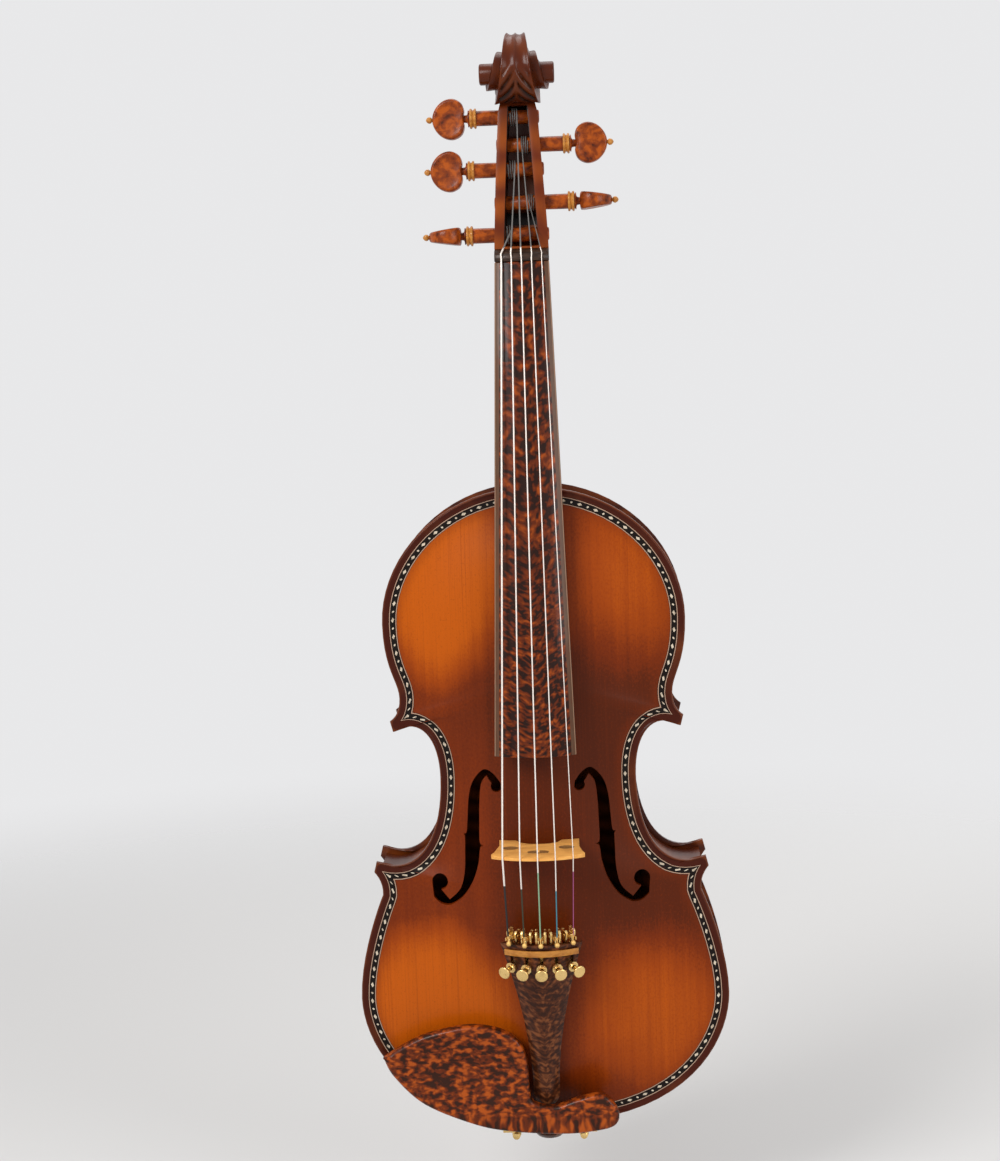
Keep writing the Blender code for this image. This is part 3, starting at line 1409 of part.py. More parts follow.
def make_tailpiece():
    """Carve the tailpiece and cut its tuner holes, string slots and gut holes."""
    shares = (0.0, 0.02, 0.06, 0.2, 0.36, 0.52, 0.68, 0.82, 0.92, 1.0)
    heights = [TAILPIECE_LOW + TAILPIECE_LENGTH * share for share in shares]
    tailpiece = solid("tailpiece", loft([tailpiece_section(h) for h in heights]), SNAKEWOOD)
    post = TUNER_POST_RADIUS + GAP
    slot = 0.0009
    reach = TUNER_FROM_END - FRET_FROM_END - FRET_WIDTH - 0.0008
    for index in range(TUNER_COUNT):
        open_angle = math.degrees(math.asin(slot / post))
        outline = arc_points((0.0, 0.0), post, 90.0 + open_angle, 450.0 - open_angle, 12)
        outline += [(slot, math.sqrt(post ** 2 - slot ** 2)), (slot, reach), (-slot, reach)]
        shape = prism(outline, -0.012, 0.006, lambda a, b, level: (a, b, level))
        frame = tuner_frame_of(index)
        hole = solid("tuner_slot_%d" % (index + 1), shape, None, frame.translation,
                     frame.to_3x3())
        cut(tailpiece, hole)
    for side in (-1, 1):
        shape = turned(((-0.004, GUT_DIAMETER / 2 + GAP), (0.0110, GUT_DIAMETER / 2 + GAP)), 12)
        hole = solid("gut_hole_%d" % (1 + (side > 0)), shape, None,
                     (side * GUT_SPREAD / 2, gut_hole_depth(), TAILPIECE_LOW))
        cut(tailpiece, hole)
    make_fret()


def gut_hole_depth():
    """Return y of the gut holes at the tailpiece's lower end."""
    return tailpiece_crown(TAILPIECE_LOW) + 0.55 * TAILPIECE_END_THICKNESS


def make_fret():
    """The pale fret that stands across the tailpiece in front of its slots."""
    high = TAILPIECE_TOP - FRET_FROM_END
    sections = []
    count = 8
    for k in range(count + 1):
        share = 2 * k / count - 1
        section = []
        for height, rise in ((high - FRET_WIDTH, GAP), (high, GAP), (high, FRET_RISE),
                             (high - FRET_WIDTH, FRET_RISE)):
            x = share * (tailpiece_half_width(high - FRET_WIDTH) - 0.0002)
            half = tailpiece_half_width(height)
            y = tailpiece_crown(height) + tailpiece_drop(height) * (x / half) ** 2
            section.append((x, y - rise - 0.0001, height))
        sections.append(section)
    solid("tailpiece_fret", loft(sections), BOXWOOD)


def make_saddle():
    """The dark block in the plate's edge that the gut runs over."""
    sections = []
    count = 6
    half = SADDLE_WIDTH / 2
    edge = -EDGE_THICKNESS
    for k in range(count + 1):
        x = half * (2 * k / count - 1)
        rise = SADDLE_RISE * (1 - 0.45 * (x / half) ** 2)
        sections.append([(x, 0.0, 0.0), (x, edge - 0.55 * rise, 0.0),
                         (x, edge - 0.95 * rise, 0.0010), (x, edge - rise, 0.0026),
                         (x, edge - 0.35 * rise, SADDLE_LENGTH), (x, 0.0, SADDLE_LENGTH)])
    solid("saddle", loft(sections), EBONY)


def make_end_button():
    """Turn the end button: shaft in the block, neck for the gut, round head."""
    shoulder = OVERHANG - GAP
    neck_low = -0.0052
    face = neck_low - BUTTON_HEAD_LENGTH
    profile = (
        (OVERHANG + RIB_THICKNESS + 0.0120, 0.0031),
        (shoulder, BUTTON_SHAFT_RADIUS), (shoulder, BUTTON_NECK_RADIUS + 0.0010),
        (shoulder - 0.0012, BUTTON_NECK_RADIUS + 0.0010), (shoulder - 0.0016, BUTTON_NECK_RADIUS),
        (neck_low, BUTTON_NECK_RADIUS), (neck_low, 0.75 * BUTTON_HEAD_RADIUS),
        (neck_low - 0.0022, BUTTON_HEAD_RADIUS), (face + 0.0030, BUTTON_HEAD_RADIUS),
        (face, 0.70 * BUTTON_HEAD_RADIUS),
    )
    solid("end_button", turned(profile, 16), SNAKEWOOD, (0.0, button_depth(), 0.0))


def make_tail_gut():
    """The loop that ties the tailpiece to the end button, over the saddle."""
    radius = GUT_DIAMETER / 2
    x = GUT_SPREAD / 2
    hole = gut_hole_depth()
    over = -EDGE_THICKNESS - SADDLE_RISE - GAP - 0.0001 - radius
    loop = BUTTON_NECK_RADIUS + GAP + radius
    depth = button_depth()
    low = -0.0032
    side = [(x, hole, TAILPIECE_LOW + 0.0100), (x, hole, TAILPIECE_LOW + 0.0030),
            (x, hole, TAILPIECE_LOW - 0.0012), (x, 0.5 * (hole + over), 0.0098),
            (x, over - 0.0002, 0.0036), (x, over + 0.0006, 0.0006),
            (x + 0.0002, over + 0.0030, -0.0016), (x + 0.0004, -0.0040, -0.0028),
            (x + 0.0010, 0.0020, low), (x + 0.0017, 0.0085, low), (loop, depth - 0.0020, low)]
    points = smooth_through(side, 2)
    turn = []
    for k in range(11):
        angle = math.pi * k / 10
        turn.append((loop * math.cos(angle), depth + loop * math.sin(angle), low))
    points = points[:-1] + turn + [(-a, b, c) for a, b, c in reversed(points[:-1])]
    tube("tail_gut", points, radius, CORD_BLACK)


# Fine tuners

def tuner_solid(name, index, shape, finish):
    """Place a shape that is modelled in a tuner's own axes."""
    frame = tuner_frame_of(index)
    return solid(name, shape, finish, frame.translation, frame.to_3x3())


def make_tuner(index, key):
    """One fine tuner: frame with post and lock nut, thumb screw, and forked lever."""
    frame_matrix = tuner_frame_of(index)
    half = TUNER_FRAME_WIDTH / 2
    roof = -TAILPIECE_THICKNESS - GAP
    floor = roof - TUNER_PLATE
    pivot = (TUNER_FROM_END + TUNER_PIVOT_AHEAD, -TUNER_PIVOT_DROP)
    nose = pivot[0] + TUNER_NOSE
    top = pivot[1] + TUNER_CHEEK_RISE
    clear = TUNER_LEVER_WIDTH / 2 + GAP

    frame = tuner_solid("tuner_frame_" + key, index,
                        box((-half, -0.0036, floor), (half, nose, roof)), GILT)
    cheek_low = TUNER_FROM_END + 0.0004
    outline = [(cheek_low, floor + 0.0002), (nose - 0.0001, floor + 0.0002),
               (nose - 0.0001, top - 0.0012), (nose - 0.0012, top), (nose - 0.0026, top),
               (cheek_low, pivot[1] + 0.0016)]
    cheek = tuner_solid("tuner_cheeks_" + key, index,
                        prism(outline, -half, half, lambda t, n, u: (u, t, n)), None)
    fuse(frame, cheek)
    gap_shape = box((-clear, cheek_low - 0.0018, floor - 0.001),
                    (clear, nose + 0.001, top + 0.001))
    nut_low = GAP
    nut_high = nut_low + TUNER_NUT_RISE
    post = turned(((floor + 0.0002, TUNER_POST_RADIUS), (nut_low, TUNER_POST_RADIUS),
                   (nut_low, TUNER_NUT_RADIUS), (nut_high, TUNER_NUT_RADIUS),
                   (nut_high, 0.7 * TUNER_NUT_RADIUS),
                   (nut_high + 0.0006, 0.65 * TUNER_NUT_RADIUS)), 10)
    fuse(frame, tuner_solid("tuner_post_" + key, index, post, None))
    cut(frame, tuner_solid("tuner_fork_space_" + key, index, gap_shape, None))
    bore = turned(((floor - 0.002, TUNER_SCREW_RADIUS + GAP),
                   (nut_high + 0.002, TUNER_SCREW_RADIUS + GAP)), 8)
    cut(frame, tuner_solid("tuner_bore_" + key, index, bore, None))
    pin_hole = turned(((-half - 0.001, TUNER_PIN_RADIUS + GAP),
                       (half + 0.001, TUNER_PIN_RADIUS + GAP)), 8, "x")
    cut(frame, solid("tuner_pin_hole_" + key, pin_hole, None,
                     frame_matrix @ Vector((0.0, *pivot)), frame_matrix.to_3x3()))

    tip = -TUNER_ARM_DROP + GAP
    head = TUNER_HEAD_RISE
    screw = turned(((tip, 0.7 * TUNER_SCREW_RADIUS), (tip + 0.0006, TUNER_SCREW_RADIUS),
                    (head, TUNER_SCREW_RADIUS), (head, TUNER_HEAD_RADIUS - 0.0003),
                    (head + 0.0003, TUNER_HEAD_RADIUS),
                    (head + TUNER_HEAD_THICKNESS - 0.0003, TUNER_HEAD_RADIUS),
                    (head + TUNER_HEAD_THICKNESS, TUNER_HEAD_RADIUS - 0.0004)), 12)
    tuner_solid("tuner_screw_" + key, index, screw, GILT)

    arm = -TUNER_ARM_DROP
    under = arm - TUNER_ARM_THICKNESS
    rear = pivot[0] - 0.0012
    outline = [(-0.0022, arm), (rear - 0.0030, arm), (rear - 0.0004, pivot[1] - 0.0015),
               (rear, pivot[1] + 0.0010), (rear, TUNER_FORK_RISE), (rear + 0.0018, TUNER_FORK_RISE),
               (pivot[0] + 0.0014, pivot[1] + 0.0006), (pivot[0] + 0.0012, pivot[1] - 0.0014),
               (rear - 0.0010, under), (-0.0022, under)]
    outline = [(t - pivot[0], n - pivot[1]) for t, n in outline]
    width = TUNER_LEVER_WIDTH / 2
    shape = prism(outline, -width, width, lambda t, n, u: (u, t, n))
    location = frame_matrix @ Vector((0.0, *pivot))
    lever = solid("tuner_lever_" + key, shape, GILT, location, frame_matrix.to_3x3())
    slot = box((-TUNER_FORK_GAP / 2, -0.004, 0.0033), (TUNER_FORK_GAP / 2, 0.004, 0.010))
    cut(lever, solid("tuner_fork_gap_" + key, slot, None, location, frame_matrix.to_3x3()))
    pin = turned(((-half - 0.0002, TUNER_PIN_RADIUS), (half + 0.0002, TUNER_PIN_RADIUS)), 8, "x")
    fuse(lever, solid("tuner_pin_" + key, pin, None, location, frame_matrix.to_3x3()))


# Chinrest and clamp

def chinrest_face(x):
    """Return y of the chinrest's outer face before it is hollowed."""
    return -CHINREST_FRONT - CHINREST_FALL * x


def make_chinrest():
    """Carve the chinrest: cup beside the tailpiece, arm over the gut, round lobe."""
    outline = smooth_through(CHINREST_OUTLINE + CHINREST_OUTLINE[:1], 3)[:-1]
    shape = bmesh.new()
    rings = []
    for rise in (0.0, CHINREST_THICKNESS):
        rings.append([shape.verts.new((x, chinrest_face(x) + rise, h)) for x, h in outline])
    count = len(outline)
    front, back = rings
    for i in range(count):
        j = (i + 1) % count
        shape.faces.new((front[i], front[j], back[j], back[i]))
    shape.faces.new(front)
    shape.faces.new(list(reversed(back)))
    chinrest = solid("chinrest", shape, SNAKEWOOD)
    near = SADDLE_WIDTH / 2 + 0.0020
    for name, low, high, stop in (
            ("chinrest_bass_foot", -near - FOOT_LENGTH, -near, CORK_THICKNESS + 2 * GAP),
            ("chinrest_treble_foot", near, near + 0.8 * FOOT_LENGTH, GAP)):
        foot = box((low, chinrest_face(high) + 0.003, FOOT_LOW),
                   (high, -EDGE_THICKNESS - stop, FOOT_LOW + FOOT_HEIGHT))
        fuse(chinrest, solid(name, foot, None))
    cup = bmesh.new()
    bmesh.ops.create_icosphere(cup, subdivisions=3, radius=1.0)
    bmesh.ops.scale(cup, vec=(0.0400, 0.0085, 0.0235), verts=cup.verts)
    turn = Matrix.Rotation(-math.atan(CHINREST_FALL), 4, "Z")
    centre = (-0.0470, chinrest_face(-0.0470) - 0.0046, 0.0370)
    cut(chinrest, solid("chinrest_cup", cup, None, centre, turn))

    pad = box((-near - FOOT_LENGTH, -EDGE_THICKNESS - CORK_THICKNESS - GAP, FOOT_LOW),
              (-near, -EDGE_THICKNESS - GAP, FOOT_LOW + FOOT_HEIGHT))
    solid("chinrest_cork", pad, CORK)


def make_clamp():
    """The clamp: yoke under the chinrest, two turning barrels and the threaded foot."""
    front = -YOKE_FRONT
    yoke_back = front + YOKE_THICKNESS
    wide = 0.0034
    lug = 0.0040
    eye_radius = 0.0022
    bar_low = CLAMP_HEIGHT + 0.0019
    bar_high = bar_low + 0.0040
    sides = {"bass": CLAMP_BASS_X, "treble": CLAMP_TREBLE_X}
    bar = box((CLAMP_BASS_X - wide - lug, front, bar_low),
              (CLAMP_TREBLE_X + wide + lug, yoke_back, bar_high))
    yoke = solid("clamp_yoke", bar, GILT)
    for name, x in (("bass", CLAMP_BASS_X - wide - lug), ("treble", CLAMP_TREBLE_X + wide)):
        shape = box((x + 0.0002, front + 0.0001, bar_low + 0.0002),
                    (x + lug - 0.0002, yoke_back - 0.0001, FOOT_LOW - GAP))
        fuse(yoke, solid("clamp_lug_" + name, shape, None))
    pin = CLAMP_ROD_RADIUS
    for name, x in sides.items():
        eye = turned(((front + 0.0001, eye_radius), (yoke_back - 0.0001, eye_radius)),
                     14, "y")
        fuse(yoke, solid("clamp_eye_" + name, eye, None, (x, 0.0, CLAMP_HEIGHT)))
    top = yoke_back + GAP
    low = top + BARREL_LENGTH
    for name, x in sides.items():
        place_at = (x, 0.0, CLAMP_HEIGHT)
        hole = turned(((front - 0.003, pin + GAP), (yoke_back + 0.003, pin + GAP)), 12, "y")
        cut(yoke, solid("clamp_hole_" + name, hole, None, place_at))
        head = front - GAP
        profile = ((head - 0.0010, 0.0014), (head - 0.0006, 0.0020), (head, 0.0020), (head, pin),
                   (top, pin), (top, 0.85 * BARREL_RADIUS), (top + 0.0008, BARREL_RADIUS),
                   (low - 0.0008, BARREL_RADIUS), (low, 0.85 * BARREL_RADIUS))
        barrel = solid("clamp_barrel_" + name, turned(profile, 12, "y"), GILT, place_at)
        bore = turned(((low - 0.0200, pin + GAP), (low + 0.002, pin + GAP)), 12, "y")
        cut(barrel, solid("clamp_bore_" + name, bore, None, place_at))
    plate_front = BACK_PLANE + EDGE_THICKNESS + GAP
    foot = box((CLAMP_BASS_X - wide, plate_front, CLAMP_HEIGHT - 0.0024),
               (CLAMP_TREBLE_X + wide, plate_front + CLAMP_PLATE_THICKNESS, 0.0056))
    plate = solid("clamp_foot", foot, GILT)
    for name, x in sides.items():
        rod = turned(((low - 0.0140, 0.7 * pin), (low - 0.0132, pin),
                      (plate_front + 0.001, pin)), 12, "y")
        fuse(plate, solid("clamp_rod_" + name, rod, None, (x, 0.0, CLAMP_HEIGHT)))


def build_violin():
    """Build every piece of the violin."""
    front_tree, back_tree = make_plates()
    make_ribs()
    make_blocks()
    make_bass_bar(front_tree)
    make_sound_post(front_tree, back_tree)
    make_neck()
    make_fingerboard()
    make_nut()
    for key in PEG_LAYOUT:
        make_peg(key)
    make_bridge(front_tree)
    make_tailpiece()
    make_saddle()
    make_end_button()
    make_tail_gut()
    for index, key in enumerate(STRING_ORDER):
        make_tuner(index, key)
        make_string(index, key)
    make_chinrest()
    make_clamp()


clear_scene()
ROOT = make_root()
build_violin()
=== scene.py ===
"""Looks of the five-string violin: varnish, snakewood, inlaid edge and gilt fittings.

Everything is in metres in the frame of the model: x to the right of someone who faces
the front, y away from them, z up. Heights named "height" are measured from the lower end
of the body, so that z = height - HANG.
"""
from __future__ import annotations

import json
import logging
import math
from dataclasses import dataclass
from enum import Enum
from typing import Callable, Iterable, Sequence, Union

import bmesh
import bpy
from mathutils import Matrix, Vector
from mathutils.bvhtree import BVHTree
from mathutils.geometry import intersect_line_line_2d, intersect_point_line

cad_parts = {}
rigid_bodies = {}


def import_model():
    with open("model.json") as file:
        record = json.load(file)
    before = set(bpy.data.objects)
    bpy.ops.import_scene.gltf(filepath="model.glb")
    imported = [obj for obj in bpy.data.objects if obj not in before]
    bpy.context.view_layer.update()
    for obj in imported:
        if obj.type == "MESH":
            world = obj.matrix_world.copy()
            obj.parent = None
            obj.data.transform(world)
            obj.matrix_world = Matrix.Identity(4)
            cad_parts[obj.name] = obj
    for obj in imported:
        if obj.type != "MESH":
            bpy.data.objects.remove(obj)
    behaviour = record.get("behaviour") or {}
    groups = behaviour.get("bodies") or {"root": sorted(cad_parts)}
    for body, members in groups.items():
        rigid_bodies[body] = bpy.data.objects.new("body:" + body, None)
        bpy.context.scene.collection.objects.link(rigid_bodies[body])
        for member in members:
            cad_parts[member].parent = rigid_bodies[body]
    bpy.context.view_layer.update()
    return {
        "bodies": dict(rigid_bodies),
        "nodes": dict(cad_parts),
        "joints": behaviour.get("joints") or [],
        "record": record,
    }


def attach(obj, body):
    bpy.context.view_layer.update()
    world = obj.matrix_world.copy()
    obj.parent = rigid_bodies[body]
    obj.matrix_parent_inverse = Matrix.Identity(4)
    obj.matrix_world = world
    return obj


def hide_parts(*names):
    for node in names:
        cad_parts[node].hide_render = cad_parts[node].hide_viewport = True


LOG = logging.getLogger("violin")
HANG = 0.570
GAP = 0.0003
Point = tuple[float, ...]
Line = list[Point]
Colour = tuple[float, float, float]


class Way(Enum):
    """Which way a grain or a flame runs."""

    ALONG = "z"
    ACROSS = "x"


# Shader helpers

class Num:
    """A number on a shader socket; arithmetic on it adds Math nodes."""

    def __init__(self, tree: "Tree", socket: bpy.types.NodeSocket) -> None:
        """Keep the tree and the socket that carries the number."""
        self.tree = tree
        self.socket = socket

    def _with(self, operation: str, *values: "Value") -> "Num":
        """Return the result of a Math node on these values."""
        node = self.tree.node("ShaderNodeMath", {"operation": operation},
                              dict(enumerate(values)))
        return Num(self.tree, node.outputs[0])

    def __add__(self, other: "Value") -> "Num":
        """Add."""
        return self._with("ADD", self, other)

    __radd__ = __add__

    def __sub__(self, other: "Value") -> "Num":
        """Subtract."""
        return self._with("SUBTRACT", self, other)

    def __rsub__(self, other: "Value") -> "Num":
        """Subtract from a plain number."""
        return self._with("SUBTRACT", other, self)

    def __mul__(self, other: "Value") -> "Num":
        """Multiply."""
        return self._with("MULTIPLY", self, other)

    __rmul__ = __mul__

    def __truediv__(self, other: "Value") -> "Num":
        """Divide."""
        return self._with("DIVIDE", self, other)

    def __abs__(self) -> "Num":
        """Take the size without its sign."""
        return self._with("ABSOLUTE", self)

    def least(self, other: "Value") -> "Num":
        """Return the smaller of two numbers."""
        return self._with("MINIMUM", self, other)

    def most(self, other: "Value") -> "Num":
        """Return the larger of two numbers."""
        return self._with("MAXIMUM", self, other)

    def wrap(self, length: float) -> "Num":
        """Return the place within a repeat of the given length, centred on zero."""
        return self._with("WRAP", self, length / 2, -length / 2)

    def wave(self) -> "Num":
        """Return the sine."""
        return self._with("SINE", self)

    def step(self, low: float, high: float) -> "Num":
        """Return 0 below low and 1 above high, with a smooth rise between."""
        node = self.tree.node("ShaderNodeMapRange", {"interpolation_type": "SMOOTHSTEP"},
                              {"Value": self, "From Min": low, "From Max": high})
        return Num(self.tree, node.outputs[0])

    def below(self, high: float, soft: float) -> "Num":
        """Return 1 under high and 0 over it, within a soft border."""
        return 1.0 - self.step(high - soft, high + soft)


Value = Union[Num, float]


class Tree:
    """A material or world under construction."""

    def __init__(self, name: str, owner: bpy.types.ID | None = None) -> None:
        """Start a material with its Principled shader, or work on the owner's nodes."""
        self.material = owner or bpy.data.materials.new(name)
        self.material.use_nodes = True
        self.tree = self.material.node_tree
        self.shader = self.tree.nodes.get("Principled BSDF")

    def node(self, kind: str, settings: dict[str, object] | None = None,
             inputs: dict[object, object] | None = None) -> bpy.types.Node:
        """Add a node.

        Args:
            kind: The node's type.
            settings: Properties that are set first.
            inputs: Values or links of its sockets, by name or number.

        Returns:
            The new node.
        """
        made = self.tree.nodes.new(kind)
        for key, value in (settings or {}).items():
            setattr(made, key, value)
        for key, value in (inputs or {}).items():
            self.feed(made.inputs[key], value)
        return made

    def feed(self, socket: bpy.types.NodeSocket, value: object) -> None:
        """Link or set one socket."""
        if isinstance(value, Num):
            self.tree.links.new(value.socket, socket)
        elif isinstance(value, bpy.types.NodeSocket):
            self.tree.links.new(value, socket)
        elif isinstance(value, tuple) and len(value) == 3 and socket.type == "RGBA":
            socket.default_value = (*value, 1.0)
        else:
            socket.default_value = value

    def place(self) -> tuple[Num, Num, Num]:
        """Return the object coordinates x, y and z."""
        coordinates = self.node("ShaderNodeTexCoord")
        split = self.node("ShaderNodeSeparateXYZ", None, {0: coordinates.outputs["Object"]})
        return tuple(Num(self, output) for output in split.outputs)

    def uv(self) -> tuple[Num, Num]:
        """Return the two coordinates of the piece's own UV map."""
        coordinates = self.node("ShaderNodeUVMap")
        split = self.node("ShaderNodeSeparateXYZ", None, {0: coordinates.outputs[0]})
        return Num(self, split.outputs[0]), Num(self, split.outputs[1])

    def facing(self) -> Num:
        """Return the sideways part of the surface's direction, -1 to 1."""
        split = self.node("ShaderNodeSeparateXYZ", None,
                          {0: self.node("ShaderNodeNewGeometry").outputs["Normal"]})
        return Num(self, split.outputs[0])

    def attribute(self, name: str) -> Num:
        """Return a number kept on the piece's points."""
        return Num(self, self.node("ShaderNodeAttribute", {"attribute_name": name})
                   .outputs["Fac"])

    def noise(self, x: Value, y: Value, z: Value, detail: float = 2.0,
              rough: float = 0.5, bend: float = 0.0) -> Num:
        """Return noise read at three scaled coordinates, from 0 to 1."""
        vector = self.node("ShaderNodeCombineXYZ", None, {0: x, 1: y, 2: z})
        made = self.node("ShaderNodeTexNoise", None,
                         {"Vector": vector.outputs[0], "Scale": 1.0, "Detail": detail,
                          "Roughness": rough, "Distortion": bend})
        return Num(self, made.outputs["Fac"])

    def mix(self, share: Value, low: object, high: object) -> bpy.types.NodeSocket:
        """Return the blend of two colours."""
        made = self.node("ShaderNodeMix", {"data_type": "RGBA"},
                         {0: share, 6: low, 7: high})
        return made.outputs[2]

    def finish(self, colour: object, rough: Value, bump: Num | None = None,
               depth: float = 0.0, **constants: object) -> bpy.types.Material:
        """Feed the shader and return the material.

        Args:
            colour: Base colour, a socket or three numbers.
            rough: Roughness.
            bump: Height that dents the surface.
            depth: Depth of the dents, in metres.
            constants: Other sockets of the shader, spaces written as underscores.

        Returns:
            The finished material.
        """
        self.feed(self.shader.inputs["Base Color"], colour)
        self.feed(self.shader.inputs["Roughness"], rough)
        for key, value in constants.items():
            self.feed(self.shader.inputs[key.replace("_", " ")], value)
        if bump is not None:
            made = self.node("ShaderNodeBump", None,
                             {"Strength": 1.0, "Distance": depth, "Height": bump})
            self.feed(self.shader.inputs["Normal"], made.outputs["Normal"])
        return self.material


# Finishes

@dataclass(frozen=True)
class Finish:
    """A finish that makes its material once; slot is the record's name for it."""

    name: str
    slot: str = ""

    def build(self) -> bpy.types.Material:
        """Return the finish's material."""
        raise NotImplementedError

    def material(self) -> bpy.types.Material:
        """Return the material, made on first use."""
        found = bpy.data.materials.get(self.name)
        return found or self.build()


@dataclass(frozen=True)
class SpruceVarnish(Finish):
    """Front plate: amber bouts, dark centre and waist, red-brown edge, fine grain, with painted
    light on the bass side, painted shade on the treble side and a painted highlight along the
    outline.
    """

    slot: str = "varnished_spruce"
    gold: Colour = (0.535, 0.099, 0.0018)
    amber: Colour = (0.340, 0.052, 0.0012)
    brown: Colour = (0.180, 0.0235, 0.0012)
    dark: Colour = (0.094, 0.0136, 0.0012)
    edge: Colour = (0.055, 0.0075, 0.0020)
    # Lighter edge colour: wear in patches, and a painted highlight along the outline.
    worn_and_highlight: Colour = (0.210, 0.050, 0.010)
    upper_bout: tuple[float, float, float, float] = (0.053, 0.318, 0.035, 0.048)
    lower_bout: tuple[float, float, float, float] = (0.060, 0.062, 0.046, 0.042)

    def glow(self, x: Num, height: Num, lobe: tuple[float, float, float, float]) -> Num:
        """Return how far a place lies inside one bright lobe, from 1 to below 0."""
        across = (abs(x) - lobe[0]) / lobe[2]
        along = (height - lobe[1]) / lobe[3]
        return 1.0 - (across * across + along * along)

    def build(self) -> bpy.types.Material:
        """Return the varnish of the front plate."""
        tree = Tree(self.name)
        x, y, z = tree.place()
        height = z + HANG
        cloud = tree.noise(x * 30.0, y * 10.0, z * 24.0, 3.0, 0.55, 0.4)
        patch = tree.noise(x * 13.0 + 4.0, 0.0, z * 11.0, 2.0, 0.5)
        lobes = self.glow(x, height, self.upper_bout)
        lobes = lobes.most(self.glow(x, height, self.lower_bout))
        # Painted light and shade: the bass side (x below zero) is painted lighter and the treble
        # side darker, here in the lobes and below in the shade.
        lobes = lobes - x.step(-0.012, 0.010) * 0.40 + x.below(-0.035, 0.014) * 0.30
        shade = (lobes + (cloud - 0.5) * 0.9 + (patch - 0.5) * 0.9).step(-1.85, 0.85)
        shade = shade * (1.0 - x.step(-0.012, 0.010) * 0.20)
        shade = shade.most(x.below(-0.024, 0.014) * (cloud * 0.30 + 0.17))
        streak = tree.noise(x * 260.0, 0.0, z * 4.0, 3.0, 0.6)
        line = tree.noise(x * 1150.0, 0.0, z * 7.0, 2.0, 0.6)
        speck = tree.noise(x * 900.0, 0.0, z * 620.0, 2.0, 0.6)
        shade = (shade + (streak - 0.5) * 0.36 + (speck - 0.5) * 0.46).most(0.0).least(1.0)
        warm = tree.mix(shade.step(0.0, 0.36), self.dark, self.brown)
        warm = tree.mix(shade.step(0.28, 0.72), warm, self.amber)
        warm = tree.mix(shade.step(0.62, 1.02), warm, self.gold)
        warm = tree.mix(line.step(0.50, 0.80) * 0.34, warm, self.brown)
        warm = tree.mix(speck.step(0.52, 0.74) * 0.30, warm, self.brown)
        rim = tree.attribute("rim")
        # Edge colour: lighter worn patches from the cloud noise, and a painted highlight on the
        # outermost 0.7 mm of the outline.
        edge = tree.mix((cloud.step(0.50, 0.85) * 0.6 + rim.below(0.0007, 0.0004) * 0.5)
                        .least(1.0), self.edge, self.worn_and_highlight)
        near = tree.mix(rim.below(0.0110, 0.0035) * 0.38, warm, self.brown)
        colour = tree.mix(rim.below(0.0040, 0.0002), near, edge)
        return tree.finish(colour, 0.30 + cloud * 0.10, line * 0.6 + streak * 0.3,
                           0.00004, Coat_Weight=0.05, Coat_Roughness=0.08,
                           Specular_IOR_Level=0.12)


@dataclass(frozen=True)
class FlamedMaple(Finish):
    """Back, ribs and scroll: deep red-brown varnish over flamed maple."""

    slot: str = "varnished_maple"
    light: Colour = (0.300, 0.066, 0.008)
    deep: Colour = (0.060, 0.0100, 0.0025)
    flame: Way = Way.ACROSS
    stripes: float = 620.0
    strength: float = 0.75

    def build(self) -> bpy.types.Material:
        """Return the varnished maple."""
        tree = Tree(self.name)
        x, y, z = tree.place()
        drift = tree.noise(x * 26.0, y * 26.0, z * 22.0, 3.0, 0.55)
        along = z if self.flame is Way.ACROSS else x
        lean = x if self.flame is Way.ACROSS else z
        wave = (along * self.stripes + lean * 90.0 + drift * 12.0).wave()
        fine = tree.noise(x * 900.0, y * 900.0, z * 45.0, 2.0, 0.6)
        share = (wave * 0.5 + 0.5) * self.strength * drift.step(0.25, 0.7)
        colour = tree.mix(share.least(1.0), self.deep, self.light)
        colour = tree.mix(fine.step(0.55, 0.78) * 0.35, colour, self.deep)
        colour = self.shaded(tree, colour, (x, y, z))
        return tree.finish(colour, 0.24 + drift * 0.10, fine, 0.00002,
                           Coat_Weight=0.08, Coat_Roughness=0.08, Specular_IOR_Level=0.16)

    def shaded(self, tree: Tree, colour: bpy.types.NodeSocket,
               place: tuple[Num, Num, Num]) -> bpy.types.NodeSocket:
        """Return the colour with its dark places added."""
        return colour


@dataclass(frozen=True)
class NeckMaple(FlamedMaple):
    """Maple of neck and scroll: darker scroll, with painted shade that makes the inside of the
    pegbox nearly black and darkens the carved grooves.
    """

    # Colour of the painted shade inside the pegbox and in the carved grooves.
    hollow: Colour = (0.010, 0.0040, 0.0022)
    pegbox: tuple[float, float] = (0.4913, 0.5672)
    pegbox_half: tuple[float, float] = (0.0096, 0.0054)
    aged: Colour = (0.034, 0.0056, 0.0015)
    aged_from: tuple[float, float] = (0.536, 0.572)

    def shaded(self, tree: Tree, colour: bpy.types.NodeSocket,
               place: tuple[Num, Num, Num]) -> bpy.types.NodeSocket:
        """Return the colour with painted shade inside the pegbox and in the carving."""
        height = place[2] + HANG
        low, high = self.pegbox
        wide, narrow = self.pegbox_half
        half = wide + (narrow - wide) * (height - low) / (high - low)
        # Mask of the pegbox's inside, where painted shade goes.
        inside = (half - abs(place[0])).step(-0.0001, 0.0002)
        inside = inside * height.step(low, low + 0.0006) * height.below(high - 0.0008, 0.0004)
        floor = ((height - low) * 0.9 + 0.012).least(0.024)
        inside = inside * (floor - place[1]).step(0.0, 0.0004)
        colour = tree.mix(height.step(*self.aged_from) * 0.5, colour, self.aged)
        # Painted shade: nearly black inside the pegbox and in the carved grooves.
        dark = inside.most(tree.attribute("carving_shade") * 0.92)
        return tree.mix(dark, colour, self.hollow)


